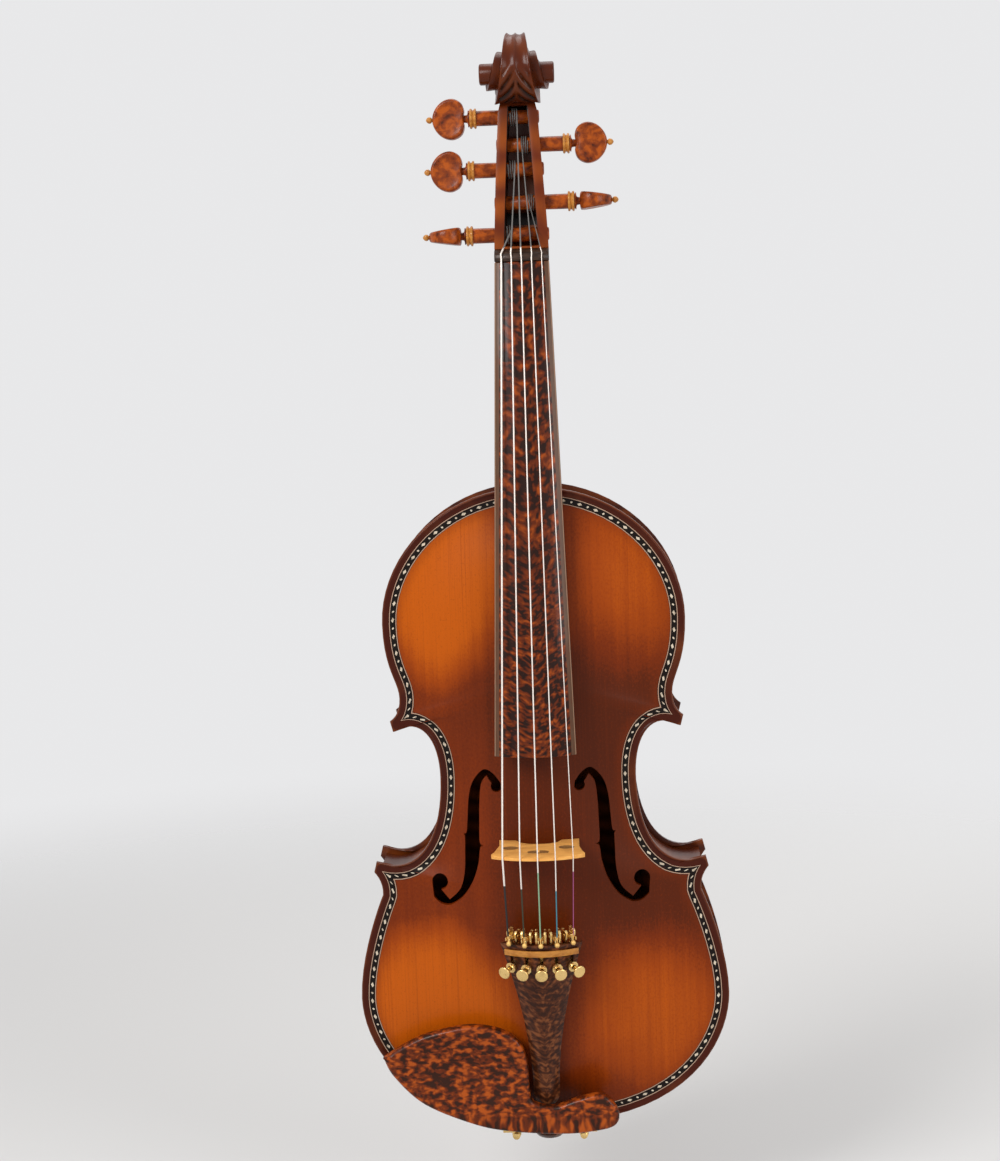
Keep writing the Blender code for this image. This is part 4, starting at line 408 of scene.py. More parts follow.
@dataclass(frozen=True)
class Snakewood(Finish):
    """Near-black wood with orange spots, in rows across the grain."""

    slot: str = "snakewood"
    spot: Colour = (0.420, 0.078, 0.0075)
    brown: Colour = (0.130, 0.021, 0.0040)
    dark: Colour = (0.022, 0.0065, 0.0035)
    wide: float = 0.0042
    tall: float = 0.0028
    low: float = 0.43
    high: float = 0.60
    detail: float = 1.6
    streaks_under: float = -1.0
    finer_below: float = -1.0
    mirrored: bool = False
    rough: float = 0.25
    strip: Colour = (0.120, 0.066, 0.038)
    # Colour of the painted highlight along the outer edge of the strips.
    strip_highlight: Colour = (0.400, 0.240, 0.150)
    strip_half: tuple[float, float] | None = None

    def build(self) -> bpy.types.Material:
        """Return the snakewood, with pale edge strips where the piece has them, and a painted
        highlight along their outer edge.
        """
        tree = Tree(self.name)
        x, y, z = tree.place()
        height = z + HANG
        across = abs(x) * 0.8 + x * 0.2 if self.mirrored else x
        rise = z - abs(x) * 0.35 if self.mirrored else z
        drift = tree.noise(x * 110.0, y * 110.0, z * 90.0, 2.0, 0.5)
        spots = tree.noise(across / self.wide + drift * 0.8, y / self.wide,
                           rise / self.tall + drift * 1.0, self.detail, 0.5, 0.20)
        if self.finer_below > 0.0:
            fine_spots = tree.noise(across * 310.0 + drift, y * 300.0, rise * 400.0 + drift * 1.5,
                                    self.detail, 0.5, 0.2)
            share = height.below(self.finer_below, 0.045)
            spots = spots * (1.0 - share) + fine_spots * share
        if self.streaks_under > 0.0:
            streaks = tree.noise(x * 330.0 + drift * 2.0, y * 200.0, z * 80.0, 1.0, 0.5)
            share = height.below(self.streaks_under, 0.0035)
            spots = spots * (1.0 - share) + streaks * share
        tone = tree.noise(x * 55.0, y * 55.0, z * 45.0, 3.0, 0.5)
        fine = tree.noise(x * 1300.0, y * 1300.0, z * 160.0, 2.0, 0.6)
        spots = spots + (tone - 0.5) * 0.16 + (fine - 0.5) * 0.05
        colour = tree.mix(spots.step(self.low - 0.09, self.low + 0.03), self.dark, self.brown)
        colour = tree.mix(spots.step(self.low + 0.02, self.high), colour, self.spot)
        if self.strip_half is not None:
            top, low = self.strip_half
            width = top + (low - top) * (0.483 - height) / 0.265
            inside = width - abs(x)
            band = tree.mix(fine.step(0.3, 0.8) * 0.5, self.strip, self.brown)
            # A painted highlight along the outer 0.5 mm of each strip.
            line = inside.below(0.0005, 0.0001) * inside.step(-0.0002, 0.0)
            band = tree.mix(line, band, self.strip_highlight)
            front = 1.0 - abs(tree.facing()).step(0.72, 0.90)
            colour = tree.mix(inside.below(0.0026, 0.0001) * front, colour, band)
        return tree.finish(colour, self.rough + tone * 0.1, fine, 0.00001,
                           Coat_Weight=0.06, Coat_Roughness=0.08, Specular_IOR_Level=0.15)


@dataclass(frozen=True)
class PlainWood(Finish):
    """One-coloured wood with fine grain and small flecks."""

    light: Colour = (0.62, 0.36, 0.15)
    dark: Colour = (0.40, 0.20, 0.07)
    fleck_share: float = 0.3
    rough: float = 0.42
    coat: float = 0.0

    def build(self) -> bpy.types.Material:
        """Return the plain wood."""
        tree = Tree(self.name)
        x, y, z = tree.place()
        grain = tree.noise(x * 90.0, y * 900.0, z * 700.0, 3.0, 0.6)
        fleck = tree.noise(x * 420.0, y * 1500.0, z * 900.0, 2.0, 0.5)
        tone = tree.noise(x * 50.0, y * 50.0, z * 50.0, 3.0, 0.5)
        colour = tree.mix(grain.step(0.3, 0.75), self.light, self.dark)
        colour = tree.mix(fleck.step(0.62, 0.72) * self.fleck_share, colour, self.dark)
        colour = self.shaded(tree, colour, (x, y, z))
        return tree.finish(colour, self.rough + tone * 0.1, grain, 0.00003,
                           Coat_Weight=self.coat, Specular_IOR_Level=0.2)

    def shaded(self, tree: Tree, colour: bpy.types.NodeSocket,
               place: tuple[Num, Num, Num]) -> bpy.types.NodeSocket:
        """Return the colour with its dark places added."""
        return colour


@dataclass(frozen=True)
class BridgeWood(PlainWood):
    """Bridge maple, with painted shade inside its cut openings."""

    slot: str = "bridge_maple"
    opening_shade: Colour = (0.120, 0.050, 0.016)
    kidney: tuple[float, float, float, float] = (0.0152, -0.0283, 0.0042, 0.0029)
    heart: tuple[float, float, float, float] = (0.0, -0.0360, 0.0058, 0.0026)

    def shaded(self, tree: Tree, colour: bpy.types.NodeSocket,
               place: tuple[Num, Num, Num]) -> bpy.types.NodeSocket:
        """Return the colour with painted shade in the openings."""
        shares = []
        for x, y, wide, tall in (self.kidney, self.heart):
            across = (abs(place[0]) - x) / wide
            down = (place[1] - y) / tall
            shares.append((across * across + down * down).below(1.05, 0.10))
        # Painted shade over the kidney and heart openings.
        return tree.mix(shares[0].most(shares[1]) * 0.85, colour, self.opening_shade)


@dataclass(frozen=True)
class Metal(Finish):
    """Polished metal with faint handling marks."""

    slot: str = "gilt"
    bright: Colour = (0.86, 0.60, 0.24)
    dull: Colour = (0.50, 0.31, 0.11)
    rough: float = 0.20

    def build(self) -> bpy.types.Material:
        """Return the metal."""
        tree = Tree(self.name)
        x, y, z = tree.place()
        smear = tree.noise(x * 300.0, y * 300.0, z * 300.0, 4.0, 0.6)
        fine = tree.noise(x * 4000.0, y * 900.0, z * 4000.0, 2.0, 0.5)
        colour = tree.mix(smear.step(0.45, 0.8) * 0.6, self.bright, self.dull)
        return tree.finish(colour, self.rough + smear * 0.16, fine, 0.000006, Metallic=1.0)


@dataclass(frozen=True)
class WoundString(Finish):
    """Wound steel with coloured silk at the tail end and at the peg end."""

    slot: str = "steel"
    silk: Colour = (0.02, 0.02, 0.02)
    peg_silk: Colour = (0.17, 0.16, 0.15)
    steel: Colour = (0.95, 0.86, 0.78)
    ball: Colour = (0.80, 0.54, 0.20)
    silk_top: float = 0.1425
    silk_low: float = 0.1200
    peg_silk_from: float = 0.490

    def build(self) -> bpy.types.Material:
        """Return the string's material."""
        tree = Tree(self.name)
        x, y, z = tree.place()
        height = z + HANG
        turns = (z * 16000.0 + x * 3000.0).wave()
        drift = tree.noise(x * 600.0, y * 600.0, z * 300.0, 2.0, 0.5)
        tail = height.below(self.silk_top, 0.0004)
        silk = tail.most(height.step(self.peg_silk_from, self.peg_silk_from + 0.001))
        cover = tree.mix(height.step(0.30, 0.31), self.silk, self.peg_silk)
        colour = tree.mix(silk, self.steel, cover)
        ball = height.below(self.silk_low, 0.0003)
        colour = tree.mix(ball, colour, self.ball)
        metal = ((1.0 - silk) * 0.35).most(ball)
        return tree.finish(colour, silk * 0.30 + 0.30 + drift * 0.08, turns, 0.000012,
                           Metallic=metal)


@dataclass(frozen=True)
class Soft(Finish):
    """Matt cord or cork with a fine crumbly surface."""

    light: Colour = (0.32, 0.17, 0.08)
    dark: Colour = (0.10, 0.05, 0.02)
    size: float = 900.0

    def build(self) -> bpy.types.Material:
        """Return the matt material."""
        tree = Tree(self.name)
        x, y, z = tree.place()
        crumb = tree.noise(x * self.size, y * self.size, z * self.size, 3.0, 0.6)
        colour = tree.mix(crumb.step(0.4, 0.65), self.light, self.dark)
        return tree.finish(colour, 0.75, crumb, 0.00008)


@dataclass(frozen=True)
class InlaidBand(Finish):
    """Black band with two pale lines and a row of pearl diamonds and dots."""

    black: Colour = (0.008, 0.005, 0.004)
    line: Colour = (0.520, 0.330, 0.230)
    pearl: Colour = (0.700, 0.600, 0.460)
    shade: Colour = (0.300, 0.220, 0.150)
    width: float = 0.0044
    line_at: float = 0.00180
    line_half: float = 0.00019
    pitch: float = 0.0098
    diamond: tuple[float, float] = (0.00155, 0.00086)
    dot: float = 0.00058

    def build(self) -> bpy.types.Material:
        """Return the band; u runs along it and v across it, in metres."""
        tree = Tree(self.name)
        along, across = tree.uv()
        x, y, z = tree.place()
        soft = 0.00004
        lines = (abs(abs(across) - self.line_at)).below(self.line_half, soft)
        place = along.wrap(self.pitch)
        diamond = (abs(place) / self.diamond[0] + abs(across) / self.diamond[1])
        diamond = diamond.below(1.0, 0.03)
        other = (along + self.pitch / 2).wrap(self.pitch)
        dot = (other * other + across * across).below(self.dot ** 2, 3e-8)
        nacre = tree.noise(x * 420.0, y * 420.0, z * 420.0, 2.0, 0.5)
        shell = tree.mix(nacre.step(0.42, 0.72) * 0.7, self.pearl, self.shade)
        colour = tree.mix(lines, self.black, self.line)
        colour = tree.mix(diamond.most(dot), colour, shell)
        return tree.finish(colour, 0.30, None, 0.0, Specular_IOR_Level=0.12)


@dataclass(frozen=True)
class PaleGround(Finish):
    """The plain pale floor, which fades out far from the violin and below."""

    colour: Colour = (0.70, 0.69, 0.68)
    near: float = 0.30
    far: float = 1.30

    def build(self) -> bpy.types.Material:
        """Return the ground's material."""
        tree = Tree(self.name)
        x, y, z = tree.place()
        drift = tree.noise(x * 1.5, y * 1.5, z * 1.5, 2.0, 0.5)
        tree.finish(tree.mix(drift * 0.06, self.colour, (0.64, 0.64, 0.63)), 0.9,
                    Specular_IOR_Level=0.1)
        under = tree.node("ShaderNodeNewGeometry").outputs["Backfacing"]
        share = (x * x + y * y).step(self.near ** 2, self.far ** 2).most(Num(tree, under))
        clear = tree.node("ShaderNodeBsdfTransparent")
        joined = tree.node("ShaderNodeMixShader", None,
                           {0: share, 1: tree.shader.outputs[0], 2: clear.outputs[0]})
        tree.feed(tree.tree.nodes["Material Output"].inputs["Surface"], joined.outputs[0])
        return tree.material


FRONT_VARNISH = SpruceVarnish("front_varnish")
BACK_MAPLE = FlamedMaple("back_maple")
RIB_MAPLE = FlamedMaple("rib_maple", strength=0.6, stripes=750.0)
NECK_MAPLE = NeckMaple("neck_maple", light=(0.340, 0.072, 0.0070),
                       deep=(0.135, 0.0200, 0.0028), strength=0.85, stripes=300.0)
BOARD_WOOD = Snakewood("board_snakewood", spot=(0.360, 0.066, 0.0065),
                       wide=0.0034, tall=0.0042, low=0.520, high=0.74,
                       mirrored=True, finer_below=0.320, strip_half=(0.0147, 0.0222))
PEG_WOOD = Snakewood("peg_snakewood", spot=(0.420, 0.082, 0.007), brown=(0.190, 0.032, 0.005),
                     dark=(0.070, 0.013, 0.004), wide=0.0040, tall=0.0036, low=0.38,
                     high=0.66, detail=3.5)
TAIL_WOOD = Snakewood("tail_snakewood", spot=(0.200, 0.062, 0.020),
                      brown=(0.075, 0.020, 0.0070), dark=(0.034, 0.0100, 0.0045),
                      wide=0.0026, tall=0.0022, low=0.48, high=0.70, mirrored=True)
REST_WOOD = Snakewood("rest_snakewood", wide=0.0042, tall=0.0026, low=0.47, high=0.68,
                      dark=(0.034, 0.0095, 0.0040), streaks_under=0.0125)
RAW_SPRUCE = PlainWood("raw_spruce", "plain_spruce", light=(0.60, 0.42, 0.22),
                       dark=(0.45, 0.28, 0.12), rough=0.6)
DARK_WOOD = PlainWood("dark_wood", "ebony", light=(0.060, 0.028, 0.015),
                      dark=(0.018, 0.010, 0.007), rough=0.30, coat=0.1)
PALE_BOX = PlainWood("pale_box", "boxwood", light=(0.62, 0.27, 0.050),
                     dark=(0.40, 0.14, 0.024), fleck_share=0.15, rough=0.34, coat=0.2)
BRIDGE_WOOD = BridgeWood("bridge_wood", light=(0.98, 0.50, 0.13),
                         dark=(0.84, 0.36, 0.080))
BRASS = Metal("gilt_metal")
BLACK_CORD = Soft("black_cord_finish", "black_cord", (0.02, 0.02, 0.02),
                  (0.008, 0.008, 0.008), 2500.0)
CORK = Soft("cork_finish", "cork")
BAND = InlaidBand("inlaid_band")
SILKS: dict[str, Colour] = {
    "c": (0.010, 0.010, 0.010), "g": (0.030, 0.034, 0.016), "d": (0.26, 0.44, 0.27),
    "a": (0.045, 0.23, 0.30), "e": (0.36, 0.075, 0.20),
}

SILK_TOPS = {"c": 0.1495, "g": 0.1485, "d": 0.1580, "a": 0.1470, "e": 0.1570}


# Geometry helpers

def bezier(start: Point, pull: Point, push: Point, end: Point, count: int) -> Line:
    """Return points along a cubic curve, without its start."""
    points = []
    for k in range(1, count + 1):
        t = k / count
        weights = ((1 - t) ** 3, 3 * (1 - t) ** 2 * t, 3 * (1 - t) * t * t, t ** 3)
        points.append(tuple(sum(w * p[i] for w, p in zip(weights, (start, pull, push, end)))
                            for i in range(2)))
    return points


def smooth_through(points: Sequence[Point], per_span: int, closed: bool = False) -> Line:
    """Return points on a smooth curve through the given ones."""
    count = len(points)
    result = []
    for i in range(count if closed else count - 1):
        if closed:
            around = [points[(i + k) % count] for k in (-1, 0, 1, 2)]
        else:
            around = [points[max(0, min(count - 1, i + k))] for k in (-1, 0, 1, 2)]
        for step in range(per_span):
            t = step / per_span
            weights = (-0.5 * t + t * t - 0.5 * t ** 3, 1 - 2.5 * t * t + 1.5 * t ** 3,
                       0.5 * t + 2 * t * t - 1.5 * t ** 3, -0.5 * t * t + 0.5 * t ** 3)
            result.append(tuple(sum(w * p[i] for w, p in zip(weights, around))
                                for i in range(len(points[0]))))
    if not closed:
        result.append(tuple(points[-1]))
    return result


def arc(centre: Point, radius: float, start: float, end: float, count: int) -> Line:
    """Return points on an arc between two angles in degrees, without the last."""
    angles = [math.radians(start + (end - start) * k / count) for k in range(count)]
    return [(centre[0] + radius * math.cos(a), centre[1] + radius * math.sin(a))
            for a in angles]


def offset_line(points: Line, distance: float) -> Line:
    """Shift a line sideways, to its left for a positive distance."""
    shifted = []
    for i, point in enumerate(points):
        before = points[max(0, i - 1)]
        after = points[min(len(points) - 1, i + 1)]
        along = Vector((after[0] - before[0], after[1] - before[1])).normalized()
        if point[0] == 0.0:
            along = Vector((math.copysign(1.0, along[0]), 0.0))
        shifted.append((point[0] - along[1] * distance, point[1] + along[0] * distance))
    return shifted


def trim_at(line: Line, other: Line) -> Line:
    """Cut a line off where it first crosses another one."""
    for i in range(len(line) - 1):
        for j in range(len(other) - 1):
            hit = intersect_line_line_2d(line[i], line[i + 1], other[j], other[j + 1])
            if hit is not None:
                return line[:i + 1] + [tuple(hit)]
    return line


def resample(line: Line, count: int) -> Line:
    """Return evenly spaced points on a line."""
    lengths = [0.0]
    for a, b in zip(line, line[1:]):
        lengths.append(lengths[-1] + math.dist(a, b))
    result = []
    i = 0
    for k in range(count + 1):
        target = lengths[-1] * k / count
        while i < len(line) - 2 and lengths[i + 1] < target:
            i += 1
        share = (target - lengths[i]) / max(1e-12, lengths[i + 1] - lengths[i])
        result.append(tuple(a + (b - a) * share for a, b in zip(line[i], line[i + 1])))
    return result


def line_length(line: Line) -> float:
    """Return the length of a line."""
    return sum(math.dist(a, b) for a, b in zip(line, line[1:]))


def mesh_object(name: str, shape: bmesh.types.BMesh, finish: Finish, body: str = "violin",
                nodes: Sequence[str] = (), sharp: float = 35.0,
                outward: bool = True) -> bpy.types.Object:
    """Make a piece from a bmesh, dress it and let it ride.

    Args:
        name: Name of the piece.
        shape: Its mesh, which is used up.
        finish: Its finish.
        body: The body that it moves with.
        nodes: The frame's nodes that it stands for.
        sharp: Angle in degrees past which an edge stays sharp.
        outward: Whether the normals are worked out again.

    Returns:
        The new object.
    """
    if outward:
        bmesh.ops.remove_doubles(shape, verts=shape.verts, dist=1e-7)
        bmesh.ops.recalc_face_normals(shape, faces=shape.faces)
    data = bpy.data.meshes.new(name)
    shape.to_mesh(data)
    shape.free()
    data.shade_smooth()
    data.set_sharp_from_angle(angle=math.radians(sharp))
    data.materials.append(finish.material())
    item = bpy.data.objects.new(name, data)
    bpy.context.scene.collection.objects.link(item)
    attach(item, body)
    if nodes:
        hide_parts(*nodes)
    LOG.info("%s: %d faces", name, len(data.polygons))
    return item


def loft(sections: Sequence[Sequence[Point]]) -> bmesh.types.BMesh:
    """Skin closed sections of equal length and cap both ends."""
    shape = bmesh.new()
    rings = [[shape.verts.new(point) for point in section] for section in sections]
    for low, high in zip(rings, rings[1:]):
        for i in range(len(low)):
            j = (i + 1) % len(low)
            shape.faces.new((low[i], low[j], high[j], high[i]))
    shape.faces.new(rings[0])
    shape.faces.new(list(reversed(rings[-1])))
    return shape


def lathe(profile: Sequence[tuple[float, float]], sides: int,
          to_space: Callable[[float, float, float], Point]) -> bmesh.types.BMesh:
    """Turn a profile of (along, radius) points; to_space maps along and two across."""
    sections = []
    for along, radius in profile:
        sections.append([to_space(along, radius * math.cos(2 * math.pi * k / sides),
                                  radius * math.sin(2 * math.pi * k / sides))
                         for k in range(sides)])
    return loft(sections)


def body_of_node(node: str) -> str:
    """Return the body that a node of the frame belongs to."""
    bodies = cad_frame()["record"]["behaviour"]["bodies"]
    return next(body for body, nodes in bodies.items() if node in nodes)


_FRAME: dict[str, dict] = {}


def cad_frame() -> dict:
    """Return the loaded frame."""
    return _FRAME["frame"]


def refine(node: str, finish: Finish, bevel: float = 0.0, segments: int = 2,
           sharp: float = 35.0, top: float | None = None) -> bpy.types.Object:
    """Replace a node by a copy with merged points, softened edges and its finish.

    Args:
        node: The frame's node.
        finish: Its finish.
        bevel: Width of the rounding of its edges, in metres.
        segments: Steps of that rounding.
        sharp: Angle in degrees past which an edge is one.
        top: Height above which the copy is left out, where another piece goes on.

    Returns:
        The new object.
    """
    shape = bmesh.new()
    shape.from_mesh(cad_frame()["nodes"][node].data)
    bmesh.ops.remove_doubles(shape, verts=shape.verts, dist=2e-6)
    bmesh.ops.dissolve_limit(shape, angle_limit=math.radians(1.0), verts=shape.verts,
                             edges=shape.edges)
    if top is not None:
        everything = list(shape.verts) + list(shape.edges) + list(shape.faces)
        bmesh.ops.bisect_plane(shape, geom=everything, plane_co=(0.0, 0.0, top - HANG),
                               plane_no=(0.0, 0.0, 1.0), clear_outer=True)
        bmesh.ops.holes_fill(shape, edges=[e for e in shape.edges if e.is_boundary])
    if bevel > 0.0:
        edges = [e for e in shape.edges
                 if len(e.link_faces) == 2 and e.calc_face_angle(0.0) > math.radians(sharp)]
        bmesh.ops.bevel(shape, geom=edges, offset=bevel, segments=segments, profile=0.5,
                        affect="EDGES", clamp_overlap=True)
    return mesh_object(node + "_piece", shape, finish, body_of_node(node), (node,),
                       sharp=sharp, outward=False)


# The body

@dataclass
class BodyOutline:
    """Outline of the plates, from named widths and heights."""

    length: float = 0.3615
    lower: Point = (0.1034, 0.0750)
    lower_narrow: Point = (0.0890, 0.1345)
    lower_corner: Point = (0.0934, 0.1478)
    waist: Point = (0.0543, 0.2010)
    upper_corner: Point = (0.0812, 0.2333)
    upper_narrow: Point = (0.0754, 0.2460)
    upper: Point = (0.0834, 0.2880)
    corner_edge: float = 0.0060
    lower_ridge: float = 0.0450
    upper_ridge: float = 0.0480
    fineness: int = 2

    def spans(self) -> dict[str, list[tuple[float, float, float]]]:
        """Return the right half as named spans of (x, height, ridge height)."""
        lean = 0.25 * self.corner_edge
        rise = 0.97 * self.corner_edge
        l_under = self.lower_corner
        l_over = (l_under[0] - lean, l_under[1] + rise)
        u_over = self.upper_corner
        u_under = (u_over[0] - lean, u_over[1] - rise)
        lower, narrow, waist = self.lower, self.lower_narrow, self.waist
        neck, upper, top = self.upper_narrow, self.upper, (0.0, self.length)
        ridge_end = self.length - self.upper_ridge
        table = (
            ("bottom", (0.0, 0.0), (0.78 * lower[0], 0.0), (lower[0], lower[1] - 0.0270),
             lower, 9, self.lower_ridge, lower[1] + 0.004),
            ("lower", lower, (lower[0], lower[1] + 0.0254),
             (narrow[0] + 0.0010, narrow[1] - 0.0017), narrow, 5, lower[1] + 0.004, 0.112),
            ("lower_flare", narrow, (narrow[0] - 0.0004, narrow[1] + 0.0062),
             (l_under[0] - 0.0025, l_under[1] - 0.0030), l_under, 3, 0.112, 0.124),
            ("lower_tip", l_under, l_under, l_over, l_over, 1, 0.124, 0.130),
            ("waist_low", l_over, (l_over[0] - 0.0218, l_over[1] - 0.0092),
             (waist[0], waist[1] - 0.0376), waist, 9, 0.130, waist[1]),
            ("waist_high", waist, (waist[0], waist[1] + 0.0220),
             (u_under[0] - 0.0154, u_under[1] + 0.0092), u_under, 8, waist[1], 0.252),
            ("upper_tip", u_under, u_under, u_over, u_over, 1, 0.252, 0.257),
            ("upper_flare", u_over, (u_over[0] - 0.0037, u_over[1] + 0.0024),
             (neck[0], neck[1] - 0.0060), neck, 3, 0.257, 0.268),
            ("upper", neck, (neck[0], neck[1] + 0.0101), (upper[0], upper[1] - 0.0264),
             upper, 5, 0.268, 0.291),
            ("top", upper, (upper[0], upper[1] + 0.0365), (0.0500, top[1]), top, 9,
             0.291, ridge_end),
        )
        result = {}
        for name, start, pull, push, end, steps, ridge_low, ridge_high in table:
            count = steps * self.fineness
            points = [(*start, ridge_low)]
            for k, point in enumerate(bezier(start, pull, push, end, count), 1):
                points.append((*point, ridge_low + (ridge_high - ridge_low) * k / count))
            result[name] = points
        return result

    def line(self, *names: str) -> Line:
        """Return the (x, height) points of joined spans."""
        spans = self.spans()
        joined: Line = []
        for name in names:
            points = [(x, h) for x, h, _ in spans[name]]
            joined.extend(points if not joined else points[1:])
        return joined

    def ring(self) -> list[tuple[float, float, float]]:
        """Return the whole outline once round, with ridge heights."""
        half: list[tuple[float, float, float]] = []
        for span in self.spans().values():
            half.extend(span if not half else span[1:])
        return half + [(-x, h, r) for x, h, r in reversed(half[1:-1])]


@dataclass
class Plate:
    """One carved plate of the body."""

    outline: BodyOutline
    base: float
    outward: float
    arch: float
    edge: float = 0.0040
    thickness: float = 0.0030
    flute: float = 0.0006
    bead: float = 0.0015
    channel: float = 0.00045
    fall: float = 0.25

    def rise(self, share: float, ridge: float) -> float:
        """Return the outer face's height: share 1 at the edge, 0 on the ridge."""
        if share > 0.955:
            inward = (1.0 - share) / 0.045
            if inward < 0.4:
                return self.edge - self.bead * (1 - math.sqrt(1 - (1 - inward / 0.4) ** 2))
            fall = 0.5 - 0.5 * math.cos(math.pi * (inward - 0.4) / 0.6)
            return self.edge - self.channel * fall
        middle = 0.5 * (self.outline.lower_ridge + self.outline.length
                        - self.outline.upper_ridge)
        reach = middle - self.outline.lower_ridge
        crown = (self.arch - self.edge) * (1 - self.fall * ((ridge - middle) / reach) ** 2)
        if share > 0.92:
            deeper = math.sin(0.5 * math.pi * (0.955 - share) / 0.035)
            return self.edge - self.channel - (self.flute - self.channel) * deeper
        inwards = (0.92 - share) / 0.92
        swell = 0.5 - 0.5 * math.cos(math.pi * inwards ** 0.8)
        return self.edge - self.flute + (crown + self.flute) * swell

    def shape(self) -> bmesh.types.BMesh:
        """Return the carved plate as one closed mesh."""
        ring = self.outline.ring()
        outer = (1.0, 0.9993, 0.998, 0.995, 0.991, 0.986, 0.982, 0.977, 0.971, 0.965, 0.960,
                 0.955, 0.944, 0.932, 0.92, 0.90, 0.87,
                 0.83, 0.78, 0.72, 0.65, 0.57, 0.48, 0.39, 0.30, 0.21, 0.12, 0.05)
        inner = (0.92, 0.80, 0.62, 0.45, 0.28, 0.12)
        shape = bmesh.new()

        def ring_verts(share: float, rise: Callable[[float, float], float]) -> list:
            return [shape.verts.new((share * x, self.base + self.outward * rise(share, r),
                                     r + share * (h - r) - HANG)) for x, h, r in ring]

        def hollow(share: float, ridge: float) -> float:
            if share >= 0.92:
                return 0.0
            return max(0.0, self.rise(share, ridge) - self.thickness)

        def ridge_verts(rise: Callable[[float, float], float]) -> list:
            made: dict[float, bmesh.types.BMVert] = {}
            for _, _, r in ring:
                key = round(r, 7)
                if key not in made:
                    made[key] = shape.verts.new((0.0, self.base + self.outward
                                                 * rise(0.0, r), r - HANG))
            return [made[round(r, 7)] for _, _, r in ring]

        rings = [ridge_verts(hollow)]
        rings += [ring_verts(share, hollow) for share in reversed(inner)]
        rings.append(ring_verts(1.0, lambda share, ridge: 0.0008))
        rings += [ring_verts(share, self.rise) for share in outer]
        rings.append(ridge_verts(self.rise))
        for low, high in zip(rings, rings[1:]):
            for i in range(len(ring)):
                j = (i + 1) % len(ring)
                corners = list(dict.fromkeys((low[i], low[j], high[j], high[i])))
                if len(corners) > 2:
                    shape.faces.new(corners)
        return shape


@dataclass
class SoundHole:
    """Outline of the treble sound hole, as (x, height)."""

    upper_eye: Point = (0.0230, 0.1970)
    upper_radius: float = 0.0030
    lower_eye: Point = (0.0562, 0.1430)
    lower_radius: float = 0.0045
    outer: tuple[Point, ...] = (
        (0.0205, 0.1995), (0.0245, 0.2045), (0.0298, 0.2065), (0.0359, 0.1998),
        (0.0387, 0.1904), (0.0399, 0.1764), (0.0406, 0.1705), (0.0422, 0.1697),
        (0.0415, 0.1680), (0.0416, 0.1623), (0.0421, 0.1493), (0.0447, 0.1396),
        (0.0510, 0.1330))
    inner: tuple[Point, ...] = (
        (0.0600, 0.1340), (0.0561, 0.1305), (0.0516, 0.1297), (0.0480, 0.1312),
        (0.0426, 0.1357), (0.0373, 0.1442), (0.0342, 0.1539), (0.0331, 0.1620),
        (0.0313, 0.1636), (0.0332, 0.1655), (0.0331, 0.1760), (0.0327, 0.1875),
        (0.0315, 0.1980), (0.0282, 0.2030))

    def outline(self) -> Line:
        """Return the closed outline with round eyes."""
        points = smooth_through(self.outer, 5)
        points += arc(self.lower_eye, self.lower_radius, 262.0, -10.0, 22)
        points += smooth_through(self.inner, 5)
        points += arc(self.upper_eye, self.upper_radius, 35.0, -180.0, 16)
        return points

    def cutter(self, side: int) -> bpy.types.Object:
        """Return a solid to cut the hole with."""
        points = [(side * x, h) for x, h in self.outline()]
        shape = loft([[(x, y, h - HANG) for x, h in points] for y in (-0.030, 0.001)])
        bmesh.ops.recalc_face_normals(shape, faces=shape.faces)
        data = bpy.data.meshes.new("hole_tool")
        shape.to_mesh(data)
        shape.free()
        item = bpy.data.objects.new("hole_tool", data)
        bpy.context.scene.collection.objects.link(item)
        return item


